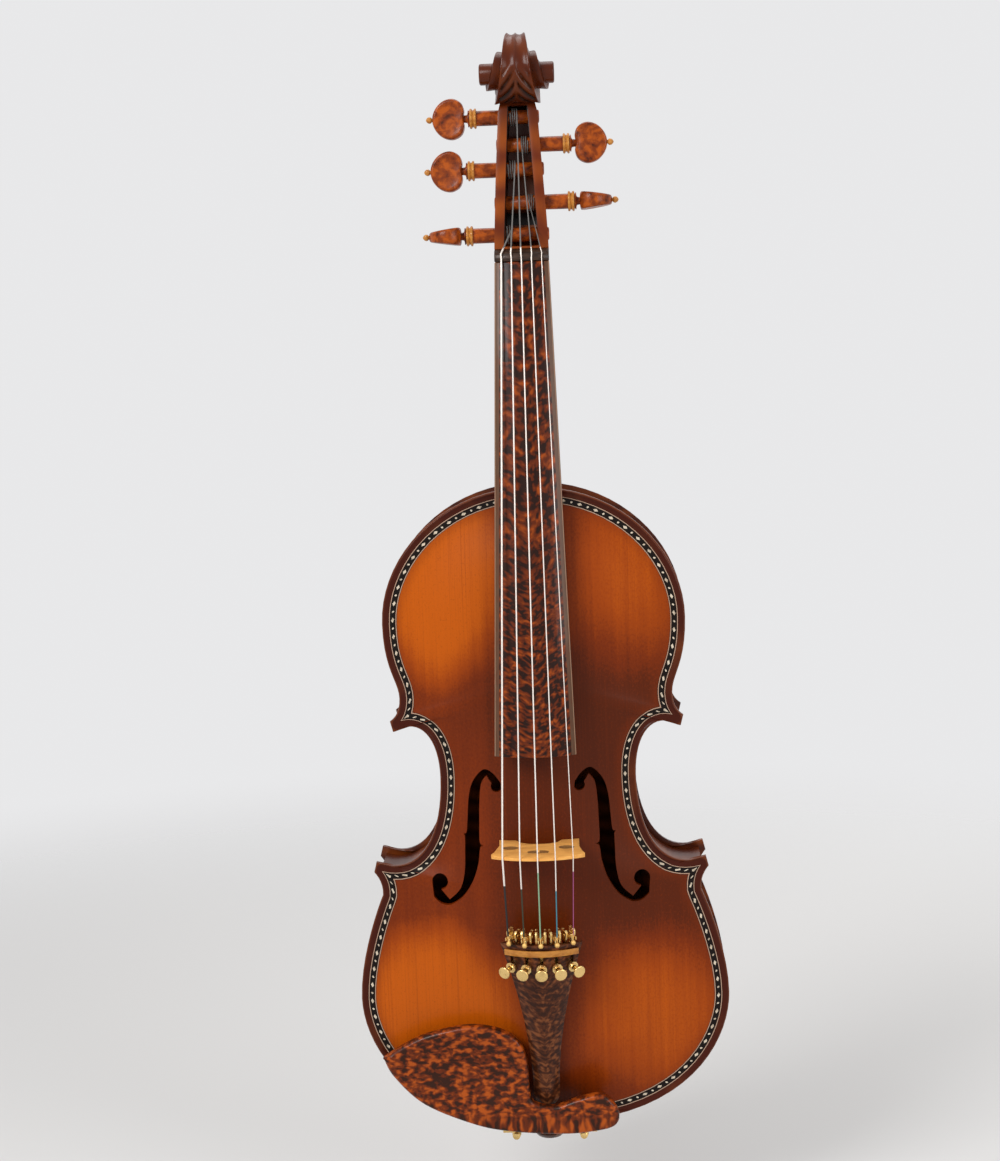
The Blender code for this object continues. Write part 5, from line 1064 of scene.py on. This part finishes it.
class Body:
    """Both plates, the ribs and the inlaid edge."""

    def __init__(self) -> None:
        """Set the sizes of the body."""
        self.outline = BodyOutline()
        self.front = Plate(self.outline, 0.0, -1.0, 0.0155)
        self.back = Plate(self.outline, 0.031 + 2 * GAP, 1.0, 0.0150)
        self.rib_height = 0.031
        self.overhang = 0.0028
        self.rib = 0.0012
        self.band_inset = 0.0038
        self.heel = ((0.0, 0.0160), (0.011, 0.0141), (0.019, 0.0121), (0.024, 0.0103),
                     (0.028, 0.0083), (0.0313, 0.0060))

    def build(self) -> None:
        """Build and dress the body's pieces."""
        surface = self.build_front()
        self.build_back()
        self.build_ribs()
        self.build_band(surface)
        for node in ("neck_block", "end_block", "bass_bar", "sound_post",
                     "lower_corner_block_bass", "lower_corner_block_treble",
                     "upper_corner_block_bass", "upper_corner_block_treble"):
            refine(node, RAW_SPRUCE)

    def cut(self, item: bpy.types.Object, tools: Iterable[bpy.types.Object]) -> None:
        """Cut solids out of a piece and remove them."""
        bpy.ops.object.select_all(action="DESELECT")
        bpy.context.view_layer.objects.active = item
        for tool in tools:
            step = item.modifiers.new("cut", "BOOLEAN")
            step.operation = "DIFFERENCE"
            step.object = tool
            bpy.ops.object.modifier_apply(modifier=step.name)
            bpy.data.objects.remove(tool, do_unlink=True)

    def box_tool(self, low: Point, high: Point) -> bpy.types.Object:
        """Return a box between two corners."""
        bpy.ops.object.select_all(action="DESELECT")
        centre = [(a + b) / 2 for a, b in zip(low, high)]
        bpy.ops.mesh.primitive_cube_add(size=1.0, location=centre)
        item = bpy.context.active_object
        item.scale = [b - a for a, b in zip(low, high)]
        bpy.ops.object.transform_apply(location=True, rotation=False, scale=True)
        return item

    def mark_rim(self, item: bpy.types.Object) -> None:
        """Keep each point's distance from the outline on the piece."""
        ring = [Vector((x, h)) for x, h, _ in self.outline.ring()]
        values = []
        for vert in item.data.vertices:
            place = Vector((vert.co.x, vert.co.z + HANG))
            least = 1.0
            for a, b in zip(ring, ring[1:] + ring[:1]):
                if abs(a.x - place.x) > 0.03 or abs(a.y - place.y) > 0.03:
                    continue
                foot, share = intersect_point_line(place, a, b)
                foot = a if share < 0 else b if share > 1 else foot
                least = min(least, (Vector(foot[:2]) - place).length)
            values.append(min(least, 0.03))
        layer = item.data.attributes.new("rim", "FLOAT", "POINT")
        layer.data.foreach_set("value", values)

    def build_front(self) -> BVHTree:
        """Build the front plate and return a tree of its surface before the cuts."""
        shape = self.front.shape()
        bmesh.ops.recalc_face_normals(shape, faces=shape.faces)
        surface = BVHTree.FromBMesh(shape)
        item = mesh_object("front_plate_piece", shape, FRONT_VARNISH, nodes=("front_plate",),
                           sharp=50.0)
        hole = SoundHole()
        saddle = self.box_tool((-0.0173, -0.010, -0.002 - HANG), (0.0173, 0.002,
                                                                  0.0081 - HANG))
        low = self.outline.length - 0.0098
        notch = self.box_tool((-0.0172, -0.012, low - HANG), (0.0172, 0.002,
                                                              low + 0.02 - HANG))
        self.cut(item, [hole.cutter(-1), hole.cutter(1), saddle, notch])
        self.mark_rim(item)
        item.data.set_sharp_from_angle(angle=math.radians(50.0))
        return surface

    def build_back(self) -> None:
        """Build the back plate with its neck button."""
        item = mesh_object("back_plate_piece", self.back.shape(), BACK_MAPLE,
                           nodes=("back_plate",), sharp=50.0)
        radius = 0.0110
        centre = (0.0, self.outline.length + 0.0130 - radius)
        points = [(-radius, centre[1] - 0.003), (radius, centre[1] - 0.003)]
        points += arc(centre, radius, 0.0, 180.0, 28) + [(-radius, centre[1])]
        base = self.back.base + 0.0001
        shape = loft([[(x, y, h - HANG) for x, h in points]
                      for y in (base, base + 0.0037)])
        mesh_object("neck_button_piece", shape, BACK_MAPLE)
        item.data.set_sharp_from_angle(angle=math.radians(50.0))

    def rib_line(self, names: Sequence[str], distance: float, back: bool) -> Line:
        """Return a rib's line at a distance inside the outline."""
        line = self.outline.line(*names)
        if back:
            return offset_line(list(reversed(line)), -distance)
        return offset_line(line, distance)

    def build_ribs(self) -> None:
        """Build the ribs with smooth bends in place of the frame's straight steps."""
        outer, inner = self.overhang, self.overhang + self.rib
        guards = {}
        for name, names, back in (("lower", ("bottom", "lower", "lower_flare"), False),
                                  ("upper", ("upper_flare", "upper", "top"), True)):
            sides = [self.rib_line(names, d, back) for d in (outer, inner)]
            sides = [line[:-1] for line in sides]
            guards[name] = self.rib_line(names, inner + GAP, back)
            if name == "lower":
                around = list(reversed(sides[0])) + [(-x, h) for x, h in sides[0][1:]]
                within = [(-x, h) for x, h in reversed(sides[1])] + sides[1][1:]
                self.rib_piece("lower_rib", around + within, 1)
            else:
                for side, word in ((-1, "bass"), (1, "treble")):
                    lines = [[(0.0168, line[0][1])] + [p for p in line if p[0] > 0.0172]
                             for line in sides]
                    self.rib_piece("upper_rib_" + word, lines[0] + lines[1][::-1], side,
                                   self.heel)
        lines = []
        for distance in (outer, inner):
            low = trim_at(self.rib_line(("waist_low",), distance, True), guards["lower"])
            high = trim_at(self.rib_line(("waist_high",), distance, False), guards["upper"])
            lines.append(low[::-1] + high[1:])
        for side, word in ((-1, "bass"), (1, "treble")):
            self.rib_piece("waist_rib_" + word, lines[0] + lines[1][::-1], side)

    def rib_piece(self, node: str, outline: Line, side: int,
                  heel: Sequence[Point] = ()) -> None:
        """Extrude one rib and let it stand for its node.

        Args:
            node: The rib's node.
            outline: The rib's section; its first and last point touch the heel if there is one.
            side: 1 for treble or both, -1 for bass.
            heel: How far the rib's end keeps from the middle, as (y, x).
        """
        levels = heel or ((GAP, outline[0][0]), (GAP + self.rib_height, outline[0][0]))
        sections = []
        for y, end in levels:
            y = min(max(y, GAP), GAP + self.rib_height)
            line = [(end, outline[0][1]), *outline[1:-1], (end, outline[-1][1])]
            if not heel:
                line = outline
            sections.append([(side * x, y, h - HANG) for x, h in line])
        shape = loft(sections)
        mesh_object(node + "_piece", shape, RIB_MAPLE, nodes=(node,), sharp=40.0)

    def build_band(self, surface: BVHTree) -> None:
        """Lay the inlaid band on the front plate, mitred into the corners."""
        inset, width = self.band_inset, BAND.width
        runs = {"lower": (("bottom", "lower", "lower_flare"), False),
                "low_waist": (("waist_low",), True), "high_waist": (("waist_high",), False),
                "upper": (("upper_flare", "upper", "top"), True)}
        sides = {}
        for name, (names, back) in runs.items():
            sides[name] = [self.stretched(self.rib_line(names, d, back))
                           for d in (inset, inset + width)]
        waist = []
        lower, upper = [], []
        for k in range(2):
            low, high = sides["low_waist"][k], sides["high_waist"][k]
            lower.append(trim_at(sides["lower"][k], low))
            upper.append(trim_at(sides["upper"][k], high))
            low_end = trim_at(low, sides["lower"][k])
            high_end = trim_at(high, sides["upper"][k])
            waist.append(low_end[::-1] + high_end[1:])
        for name, lines in (("lower", lower), ("waist", waist), ("upper", upper)):
            for side, word in ((-1, "bass"), (1, "treble")):
                self.band_piece("inlaid_band_%s_%s" % (name, word), lines, side, surface)

    def stretched(self, line: Line) -> Line:
        """Lengthen a line at its end so that neighbours cross."""
        end = Vector(line[-1])
        along = (end - Vector(line[-2])).normalized()
        return line + [tuple(end + along * 0.006)]

    def band_piece(self, name: str, lines: list[Line], side: int, surface: BVHTree) -> None:
        """Make one run of the band, with its own UV map in metres."""
        length = line_length(lines[0])
        count = round(length / 0.0008)
        outer, inner = resample(lines[0], count), resample(lines[1], count)
        across = (0.0, 0.25, 0.5, 0.75, 1.0)
        shape = bmesh.new()
        layer = shape.loops.layers.uv.new("UVMap")
        repeats = max(1, round(length / BAND.pitch))
        scale = repeats * BAND.pitch / length
        rows = []
        for k, (a, b) in enumerate(zip(outer, inner)):
            row = []
            for share in across:
                x = side * (a[0] + (b[0] - a[0]) * share)
                h = a[1] + (b[1] - a[1]) * share
                hit = surface.ray_cast(Vector((x, -0.040, h - HANG)), Vector((0, 1, 0)))
                row.append((shape.verts.new((x, hit[0][1] - 0.00005, h - HANG)),
                            (length * k / count * scale, (share - 0.5) * BAND.width)))
            rows.append(row)
        for low, high in zip(rows, rows[1:]):
            for i in range(len(across) - 1):
                corners = [low[i], low[i + 1], high[i + 1], high[i]]
                if side > 0:
                    corners.reverse()
                face = shape.faces.new([vert for vert, _ in corners])
                for loop, (_, place) in zip(face.loops, corners):
                    loop[layer].uv = place
        shape.normal_update()
        if sum(face.normal.y for face in shape.faces) > 0:
            bmesh.ops.reverse_faces(shape, faces=shape.faces)
        mesh_object(name, shape, BAND, outward=False)


@dataclass
class Peg:
    """One peg: tapered shaft, stem, heart-shaped head and pale pip."""

    key: str
    above: float
    side: int
    turn: float
    start: float = 0.490
    radius: float = 0.0041
    tip_radius: float = 0.0036
    collar_distance: float = 0.0120
    collar_width: float = 0.0036
    head_length: float = 0.0180
    head_width: float = 0.0220
    head_thickness: float = 0.0100
    tip_share: float = 0.50
    pip: float = 0.0018

    def wall(self) -> float:
        """Return the half width of the pegbox at the peg."""
        share = self.above / 0.0730
        return 0.5 * (0.0294 + (0.0212 - 0.0294) * share ** 1.25)

    def outline(self) -> Line:
        """Return the head's outline: distance out of the stem, width across."""
        half, length = self.head_width / 2, self.head_length
        upper = [(0.05 * length, 0.0), (0.02 * length, 0.42 * half),
                 (0.12 * length, 0.80 * half), (0.38 * length, half),
                 (0.68 * length, 0.88 * half), (0.91 * length, 0.50 * half), (length, 0.0)]
        lower = [(a, -b) for a, b in reversed(upper[1:-1])]
        return smooth_through(upper + lower, 6, closed=True)

    def build(self) -> None:
        """Build the peg, its pip and its collar."""
        height = self.start + self.above
        depth = 0.0026 + 0.062 * self.above + 0.0090
        wall = self.wall()
        seat = wall + self.collar_distance
        stem = seat + self.collar_width + GAP
        head = stem + 0.0022
        tip = head + self.head_length
        far = -(wall + 0.0006)
        turn = Matrix.Rotation(math.radians(self.turn), 4, "X")
        centre = Matrix.Translation((0.0, depth, height - HANG)) @ turn
        profile = [(far, 0.0004), (far, 0.70 * self.tip_radius), (far + 0.0002,
                   0.9 * self.tip_radius), (far + 0.0007, self.tip_radius)]
        profile += [(wall + 0.004, self.radius), (stem, self.radius),
                    (stem + 0.0002, self.radius + 0.0005), (stem + 0.0006,
                    self.radius + 0.0004), (stem + 0.0008, 0.0030), (stem + 0.0012, 0.0022),
                    (head + 0.0020, 0.0018), (head + 0.0060, 0.0017)]
        self.turned("peg_%s_piece" % self.key, profile, PEG_WOOD, centre,
                    ("peg_" + self.key,))
        middle = 0.5 * self.head_length
        sections = []
        for level, scale in ((-0.44, 0.42), (-0.455, 0.62), (-0.48, 0.76), (-0.50, 0.84),
                             (-0.49, 0.90), (-0.44, 0.945), (-0.34, 0.975), (-0.18, 0.994),
                             (0.0, 1.0), (0.18, 0.994), (0.34, 0.975), (0.44, 0.945),
                             (0.49, 0.90), (0.50, 0.84), (0.48, 0.76), (0.455, 0.62),
                             (0.44, 0.42)):
            section = []
            for out, across in self.outline():
                reach = middle + (out - middle) * scale
                thick = self.head_thickness * (1 - (1 - self.tip_share) * reach
                                               / self.head_length)
                section.append(tuple(centre @ Vector((self.side * (head + reach),
                                                      thick * level, across * scale))))
            sections.append(section)
        mesh_object("peg_head_%s_piece" % self.key, loft(sections), PEG_WOOD,
                    "peg_%s_body" % self.key, sharp=60.0)
        pip = self.pip
        profile = [(tip - 0.0006, 0.0009), (tip + 0.1 * pip, 0.0010), (tip + 0.2 * pip,
                   0.72 * pip), (tip + 0.45 * pip, 0.92 * pip), (tip + 0.8 * pip, pip),
                   (tip + 1.2 * pip, 0.90 * pip), (tip + 1.55 * pip, 0.66 * pip),
                   (tip + 1.8 * pip, 0.30 * pip), (tip + 1.89 * pip, 0.05 * pip)]
        self.turned("peg_pip_" + self.key, profile, PALE_BOX, centre)
        bore, rim = self.radius + 0.0002, 0.0055
        width = self.collar_width
        ring = [(seat, bore), (seat, rim - 0.0006), (seat + 0.0002, rim - 0.0002),
                (seat + 0.0006, rim), (seat + 0.0011, rim - 0.0002),
                (seat + 0.0014, rim - 0.0008), (seat + 0.0018, rim - 0.0010),
                (seat + 0.0022, rim - 0.0008), (seat + 0.0025, rim - 0.0002),
                (seat + width - 0.0006, rim), (seat + width - 0.0002, rim - 0.0002),
                (seat + width, rim - 0.0006), (seat + width, bore)]
        self.turned("peg_collar_%s_piece" % self.key, ring, PALE_BOX, centre,
                    ("peg_collar_" + self.key,))

    def turned(self, name: str, profile: Sequence[tuple[float, float]], finish: Finish,
               centre: Matrix, nodes: Sequence[str] = ()) -> None:
        """Turn a profile about the peg's axis and place it."""
        shape = lathe([(self.side * a, r) for a, r in profile], 32,
                      lambda along, a, b: tuple(centre @ Vector((along, a, b))))
        mesh_object(name, shape, finish, "peg_%s_body" % self.key, nodes, sharp=50.0)


class Pegs:
    """The five pegs."""

    LAYOUT = (("c", 0.0080, -1, 90.0), ("e", 0.0250, 1, 90.0), ("g", 0.0430, -1, 0.0),
              ("a", 0.0560, 1, 0.0), ("d", 0.0710, -1, 0.0))

    def build(self) -> None:
        """Build every peg."""
        for key, above, side, turn in self.LAYOUT:
            Peg(key, above, side, turn).build()


@dataclass
class Scroll:
    """Scroll: fluted spine, two turns with their eyes, and a carved leaf on the chin."""

    eye_height: float = 0.5835
    eye_depth: float = 0.0105
    radius: float = 0.0215
    shrink: float = 0.558
    eye_radius: float = 0.0057
    eyes_half: float = 0.0202
    pegbox_half: float = 0.0106
    join: float = 0.5665
    flute: float = 0.0011
    leaf: float = 0.0015
    side_hollow: float = 0.0008
    start_ease: float = 0.07
    ease_from: float = -70.0
    widths: tuple[tuple[float, float], ...] = (
        (-100.0, 0.0072), (0.0, 0.0048), (90.0, 0.0078), (180.0, 0.0125), (260.0, 0.0118),
        (360.0, 0.0100), (450.0, 0.0130), (540.0, 0.0166), (620.0, 0.0176))

    def build(self) -> None:
        """Build the turns, the eye and the throat that joins them to the pegbox."""
        self.turn("scroll_first_turn", -100.0, 260.0, 0.0112, 1.0)
        self.turn("scroll_second_turn", 247.0, 607.0, 0.0160, 0.985)
        half, rim = self.eyes_half, self.eye_radius
        profile = [(-half + 0.0004, 0.0), (-half + 0.0003, 0.60 * rim), (-half, 0.72 * rim),
                   (-half, 0.84 * rim), (-half + 0.0003, 0.95 * rim), (-half + 0.0009, rim)]
        profile += [(-a, r) for a, r in reversed(profile)]
        shape = lathe([(a, max(r, 0.0002)) for a, r in profile], 48,
                      lambda a, b, c: (a, self.eye_depth + b, self.eye_height + c - HANG))
        mesh_object("scroll_eye", shape, NECK_MAPLE, sharp=50.0)
        self.build_throat()

    def half_width(self, angle: float) -> float:
        """Return half the width of the spiral's rim at an angle from the top, forwards."""
        for (a0, w0), (a1, w1) in zip(self.widths, self.widths[1:]):
            if angle <= a1:
                return w0 + (w1 - w0) * max(0.0, (angle - a0) / (a1 - a0))
        return self.widths[-1][1]

    def relief(self, angle: float, share: float) -> tuple[float, float]:
        """Return how deep the rim is carved at a place, and how much painted shade that place
        gets.

        Args:
            angle: Angle along the spiral, in degrees.
            share: Place across the rim, -1 to 1.

        Returns:
            The depth in metres and the share of painted shade, from 0 to 1.
        """
        side = abs(share)
        depth = self.flute * math.sin(math.pi * min(1.0, side / 0.90)) ** 0.8
        if angle > 300.0:
            return 0.5 * depth, 0.0
        start, end = 78.0, 179.0
        if not start < angle < end:
            return depth, 0.0
        along = (angle - start) / (end - start)
        window = min(1.0, 4.0 * along) * min(1.0, max(0.0, 0.95 - side) / 0.12)
        depth *= 1.0 - 0.9 * min(1.0, 3.0 * along)
        vein = 0.5 + 0.5 * math.cos(2 * math.pi * (3.6 * along - 1.9 * side ** 0.8))
        stem = math.exp(-(side / 0.10) ** 2)
        cut = window * (vein ** 1.6) * (1.0 - stem)
        # Painted shade over the carved leaf, darkest in its cuts.
        return depth + self.leaf * cut, min(1.0, window * (0.35 + 0.9 * cut) * along ** 0.4)

    def turn(self, name: str, first: float, last: float, core: float, inset: float) -> None:
        """Build one turn as a disc whose rim follows the spiral."""
        shape = bmesh.new()
        # Points keep the share of painted shade in the carved grooves.
        layer = shape.verts.layers.float.new("carving_shade")
        steps = 144
        across = [k / 16 for k in range(-16, 17)]
        sides = (0.30, 0.50, 0.62, 0.72, 0.80, 0.87, 0.93, 0.97, 0.99)
        blades = []
        for k in range(steps + 1):
            angle = first + (last - first) * k / steps
            radius = inset * self.radius * self.shrink ** (max(0.0, angle) / 360.0)
            radius *= 1.0 - self.start_ease * max(0.0, (self.ease_from - angle) / 30.0) ** 2
            half = self.half_width(angle)
            turn = math.radians(angle)
            row = []
            places = [(-1, u) for u in sides] + [(0, s) for s in across]
            places += [(1, u) for u in reversed(sides)]
            for side, value in places:
                carving_shade = 0.0
                if side:
                    dip = math.sin(math.pi * min(1.0, (1.0 - value) / 0.42))
                    x = side * (half + (core - half) * (1.0 - value) ** 1.35
                                - self.side_hollow * dip)
                    reach = radius * value
                    # Painted shade in the groove beside the step of the turn's side.
                    carving_shade = 0.75 * max(0.0, 1.0 - abs(value - 0.56) / 0.20)
                else:
                    depth, carving_shade = self.relief(angle, value)
                    edge = max(0.0, abs(value) - 0.94) / 0.06
                    x = value * half
                    reach = radius - depth - 0.01 * radius * edge ** 2
                vert = shape.verts.new((x, self.eye_depth - reach * math.sin(turn),
                                        self.eye_height - HANG + reach * math.cos(turn)))
                vert[layer] = carving_shade
                row.append(vert)
            blades.append(row)
        poles = [shape.verts.new((side * core, self.eye_depth, self.eye_height - HANG))
                 for side in (-1, 1)]
        for low, high in zip(blades, blades[1:]):
            for i in range(len(low) - 1):
                shape.faces.new((low[i], low[i + 1], high[i + 1], high[i]))
            shape.faces.new((poles[0], low[0], high[0]))
            shape.faces.new((low[-1], poles[1], high[-1]))
        shape.faces.new([poles[0], *blades[0], poles[1]])
        shape.faces.new([poles[1], *reversed(blades[-1]), poles[0]])
        bmesh.ops.recalc_face_normals(shape, faces=shape.faces)
        mesh_object(name, shape, NECK_MAPLE, sharp=38.0, outward=False)

    def build_throat(self) -> None:
        """Build the short piece between pegbox and scroll."""
        full = self.pegbox_half
        rows = ((self.join, 0.923 * full, 0.00844, 0.02950, 0.908),
                (0.5720, 0.80 * full, 0.0105, 0.0306, 0.92),
                (0.5780, 0.72 * full, 0.0115, 0.0316, 0.96),
                (self.eye_height, 0.68 * full, 0.0125, 0.0313, 0.98),
                (self.eye_height + 0.006, 0.66 * full, 0.0125, 0.0303, 0.98))
        sections = []
        for height, half, front, back, share in rows:
            section = []
            for k in range(33):
                angle = math.pi * k / 32
                across = math.copysign(abs(math.cos(angle)) ** 0.34, math.cos(angle))
                down = 0.0 if k in (0, 32) else abs(math.sin(angle)) ** 0.34
                section.append((across * half * (1.0 - (1.0 - share) * down),
                                front + (back - front) * down, height - HANG))
            sections.append(section)
        mesh_object("scroll_throat", loft(sections), NECK_MAPLE, sharp=50.0)


@dataclass
class Chinrest:
    """Chinrest: cup beside the tailpiece, arm over the gut and round lobe, on two feet."""

    front: float = 0.0255
    fall: float = 0.05
    thickness: float = 0.0060
    rounding: float = 0.0024
    cup_depth: float = 0.0038
    cup_centre: Point = (-0.0470, 0.0370)
    cup_reach: Point = (0.0385, 0.0250)
    cell: float = 0.0018
    points: tuple[Point, ...] = (
        (-0.0908, 0.0459), (-0.0709, 0.0572), (-0.0511, 0.0629), (-0.0373, 0.0642),
        (-0.0238, 0.0615), (-0.0155, 0.0563), (-0.0113, 0.0490), (-0.0098, 0.0400),
        (-0.0094, 0.0290), (-0.0080, 0.0210), (-0.0017, 0.0184), (0.0061, 0.0184),
        (0.0159, 0.0220), (0.0287, 0.0252), (0.0362, 0.0212), (0.0401, 0.0130),
        (0.0360, 0.0062), (0.0202, 0.0028), (0.0055, 0.0020), (-0.0180, 0.0030),
        (-0.0396, 0.0068), (-0.0681, 0.0185), (-0.0850, 0.0345))

    def inset(self, line: Line, distance: float) -> Line:
        """Shift the outline inwards, less so near the sharp tip."""
        moved = []
        for i, (x, h) in enumerate(line):
            before, after = line[i - 1], line[(i + 1) % len(line)]
            along = Vector((after[0] - before[0], after[1] - before[1])).normalized()
            reach = min(distance, 0.4 * math.dist(line[0], (x, h)) + 0.0001)
            moved.append((x + along[1] * reach, h - along[0] * reach))
        return moved

    def face(self, x: float) -> float:
        """Return y of the outer face before it is hollowed."""
        return -self.front - self.fall * x

    def build(self) -> None:
        """Build the chinrest in the place of its node."""
        outline = smooth_through(self.points + self.points[:1], 8)[:-1]
        shape = bmesh.new()
        rings = []
        small = 0.35 * self.rounding
        back = [(small * (1 - math.cos(a)), self.thickness - small * (1 - math.sin(a)))
                for a in (math.radians(d) for d in (90, 60, 30, 0))]
        front = [(self.rounding * (1 - math.cos(a)), self.rounding * (1 - math.sin(a)))
                 for a in (math.radians(d) for d in (0, 15, 30, 45, 60, 75, 90))]
        for distance, depth in back + front:
            rings.append([shape.verts.new((x, self.face(x) + depth, h - HANG))
                          for x, h in self.inset(outline, distance)])
        for low, high in zip(rings, rings[1:]):
            for i in range(len(low)):
                j = (i + 1) % len(low)
                shape.faces.new((low[i], low[j], high[j], high[i]))
        shape.faces.new(rings[0])
        shape.faces.new(rings[-1]).material_index = 1
        self.hollow(shape)
        near, foot_length, low, tall = 0.0190, 0.0175, 0.0064, 0.0046
        for start, end, stop in ((-near - foot_length, -near, -0.0060),
                                 (near, near + 0.8 * foot_length, -0.0043)):
            top = self.face(end) + 0.003
            corners = [[shape.verts.new((x, y, h - HANG)) for x, y in
                        ((start, top), (end, top), (end, stop), (start, stop))]
                       for h in (low, low + tall)]
            shape.faces.new(corners[0])
            shape.faces.new(corners[1][::-1])
            for i in range(4):
                j = (i + 1) % 4
                shape.faces.new((corners[0][i], corners[0][j], corners[1][j], corners[1][i]))
        mesh_object("chinrest_piece", shape, REST_WOOD, nodes=("chinrest",), sharp=50.0)

    def hollow(self, shape: bmesh.types.BMesh) -> None:
        """Cut the outer face into small cells and press the cup into it."""
        for axis, low, high in ((0, -0.092, 0.042), (2, -HANG, 0.066 - HANG)):
            for k in range(1, round((high - low) / self.cell)):
                faces = [face for face in shape.faces if face.material_index == 1]
                edges = {edge for face in faces for edge in face.edges}
                verts = {vert for face in faces for vert in face.verts}
                point, normal = [0.0, 0.0, 0.0], [0.0, 0.0, 0.0]
                point[axis] = low + k * self.cell
                normal[axis] = 1.0
                bmesh.ops.bisect_plane(shape, geom=[*verts, *edges, *faces], dist=1e-6,
                                       plane_co=point, plane_no=normal)
        for vert in shape.verts:
            if all(face.material_index == 1 for face in vert.link_faces):
                away = sum(((place - centre) / reach) ** 2 for place, centre, reach in
                           zip((vert.co.x, vert.co.z + HANG), self.cup_centre, self.cup_reach))
                vert.co.y += self.cup_depth * max(0.0, 1.0 - away) ** 1.4
        for face in shape.faces:
            face.material_index = 0


class Fittings:
    """Neck, board, bridge, tailpiece, tuners, strings and chinrest."""

    def build(self) -> None:
        """Dress every remaining piece."""
        refine("neck_and_scroll", NECK_MAPLE, 0.0004, 2, 40.0, 0.5671)
        Scroll().build()
        refine("fingerboard", BOARD_WOOD, 0.0004)
        refine("nut", DARK_WOOD, 0.0003)
        refine("bridge", BRIDGE_WOOD, 0.00025)
        refine("tailpiece", TAIL_WOOD, 0.0005, 3)
        refine("tailpiece_fret", PALE_BOX, 0.0003)
        refine("saddle", DARK_WOOD, 0.0003)
        refine("end_button", TAIL_WOOD, 0.0003)
        refine("tail_gut", BLACK_CORD)
        Chinrest().build()
        refine("chinrest_cork", CORK, 0.0002)
        for node in ("clamp_yoke", "clamp_barrel_bass", "clamp_barrel_treble", "clamp_foot"):
            refine(node, BRASS, 0.0002)
        for key, silk in SILKS.items():
            for part in ("frame", "lever", "screw"):
                refine("tuner_%s_%s" % (part, key), BRASS, 0.00016)
            refine("string_" + key, WoundString("string_finish_" + key, silk=silk,
                                                silk_top=SILK_TOPS[key]), sharp=60.0)


# Stage, light and camera

@dataclass
class Studio:
    """Pale floor and surroundings, soft light and the camera of the photograph."""

    floor: float = -0.640
    reach: float = 4.0
    pale: float = 0.93
    glow: float = 0.42
    eye: Point = (0.038885, -1.12288, 0.45145 - HANG)
    pitch: float = 0.125
    roll: float = -0.0336
    yaw: float = -0.0502
    focal_px: float = 2060.2
    image_height_px: float = 1161.0

    def build(self) -> None:
        """Build the stage, the lamps, the world and the camera."""
        self.build_stage()
        self.lamp("key_light", (-0.95, -1.15, 0.60), 0.7, 19.0)
        self.lamp("fill_light", (1.15, -0.95, 0.10), 0.8, 8.0)
        self.lamp("top_light", (0.10, 0.45, 1.10), 0.9, 7.0)
        self.lamp("back_light", (0.70, 1.30, 0.45), 0.9, 9.0, False)
        self.build_world()
        self.build_camera()

    def build_stage(self) -> None:
        """Make the floor as one round sheet."""
        shape = bmesh.new()
        bmesh.ops.create_circle(shape, cap_ends=True, segments=96, radius=self.reach)
        bmesh.ops.translate(shape, verts=shape.verts, vec=(0.0, 0.0, self.floor))
        data = bpy.data.meshes.new("stage")
        shape.to_mesh(data)
        shape.free()
        data.materials.append(PaleGround("pale_ground").material())
        item = bpy.data.objects.new("stage", data)
        bpy.context.scene.collection.objects.link(item)

    def lamp(self, name: str, place: Point, size: float, power: float,
             glossy: bool = True) -> None:
        """Add a soft square lamp that faces the violin."""
        data = bpy.data.lights.new(name, "AREA")
        data.size = size
        data.energy = power
        item = bpy.data.objects.new(name, data)
        item.visible_camera = False
        item.visible_glossy = glossy
        item.location = place
        item.rotation_euler = (Vector((0.0, 0.0, -0.30)) - Vector(place)).to_track_quat(
            "-Z", "Y").to_euler()
        bpy.context.scene.collection.objects.link(item)

    def build_world(self) -> None:
        """Light softly from all round, and show a pale ground to the camera and in gloss."""
        world = bpy.data.worlds.new("studio_world")
        bpy.context.scene.world = world
        tree = Tree("studio_world", world)
        rays = tree.node("ShaderNodeLightPath").outputs
        seen = Num(tree, rays["Is Camera Ray"])
        for name in ("Is Glossy Ray", "Is Transmission Ray"):
            seen = seen.most(Num(tree, rays[name]))
        back = tree.tree.nodes["Background"]
        back.inputs["Color"].default_value = (0.87, 0.87, 0.88, 1.0)
        tree.feed(back.inputs["Strength"], seen * (self.pale - self.glow) + self.glow)

    def build_camera(self) -> None:
        """Place the camera as the photograph was taken."""
        turn = (Matrix.Rotation(self.roll, 3, "Y") @ Matrix.Rotation(self.pitch, 3, "X")
                @ Matrix.Rotation(self.yaw, 3, "Z"))
        right, forward, up = turn[0], turn[1], turn[2]
        data = bpy.data.cameras.new("camera")
        data.sensor_width = 36.0
        data.lens = self.focal_px * 36.0 / self.image_height_px
        item = bpy.data.objects.new("camera", data)
        frame = Matrix((right, up, -forward)).transposed().to_4x4()
        item.matrix_world = Matrix.Translation(self.eye) @ frame
        bpy.context.scene.collection.objects.link(item)
        bpy.context.scene.camera = item


def main() -> None:
    """Build the looks in order."""
    logging.basicConfig(level=logging.INFO, format="%(name)s %(message)s")
    _FRAME["frame"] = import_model()
    bpy.context.scene.view_settings.view_transform = "Standard"
    Studio().build()
    Body().build()
    Pegs().build()
    Fittings().build()


if __name__ == "__main__":
    main()
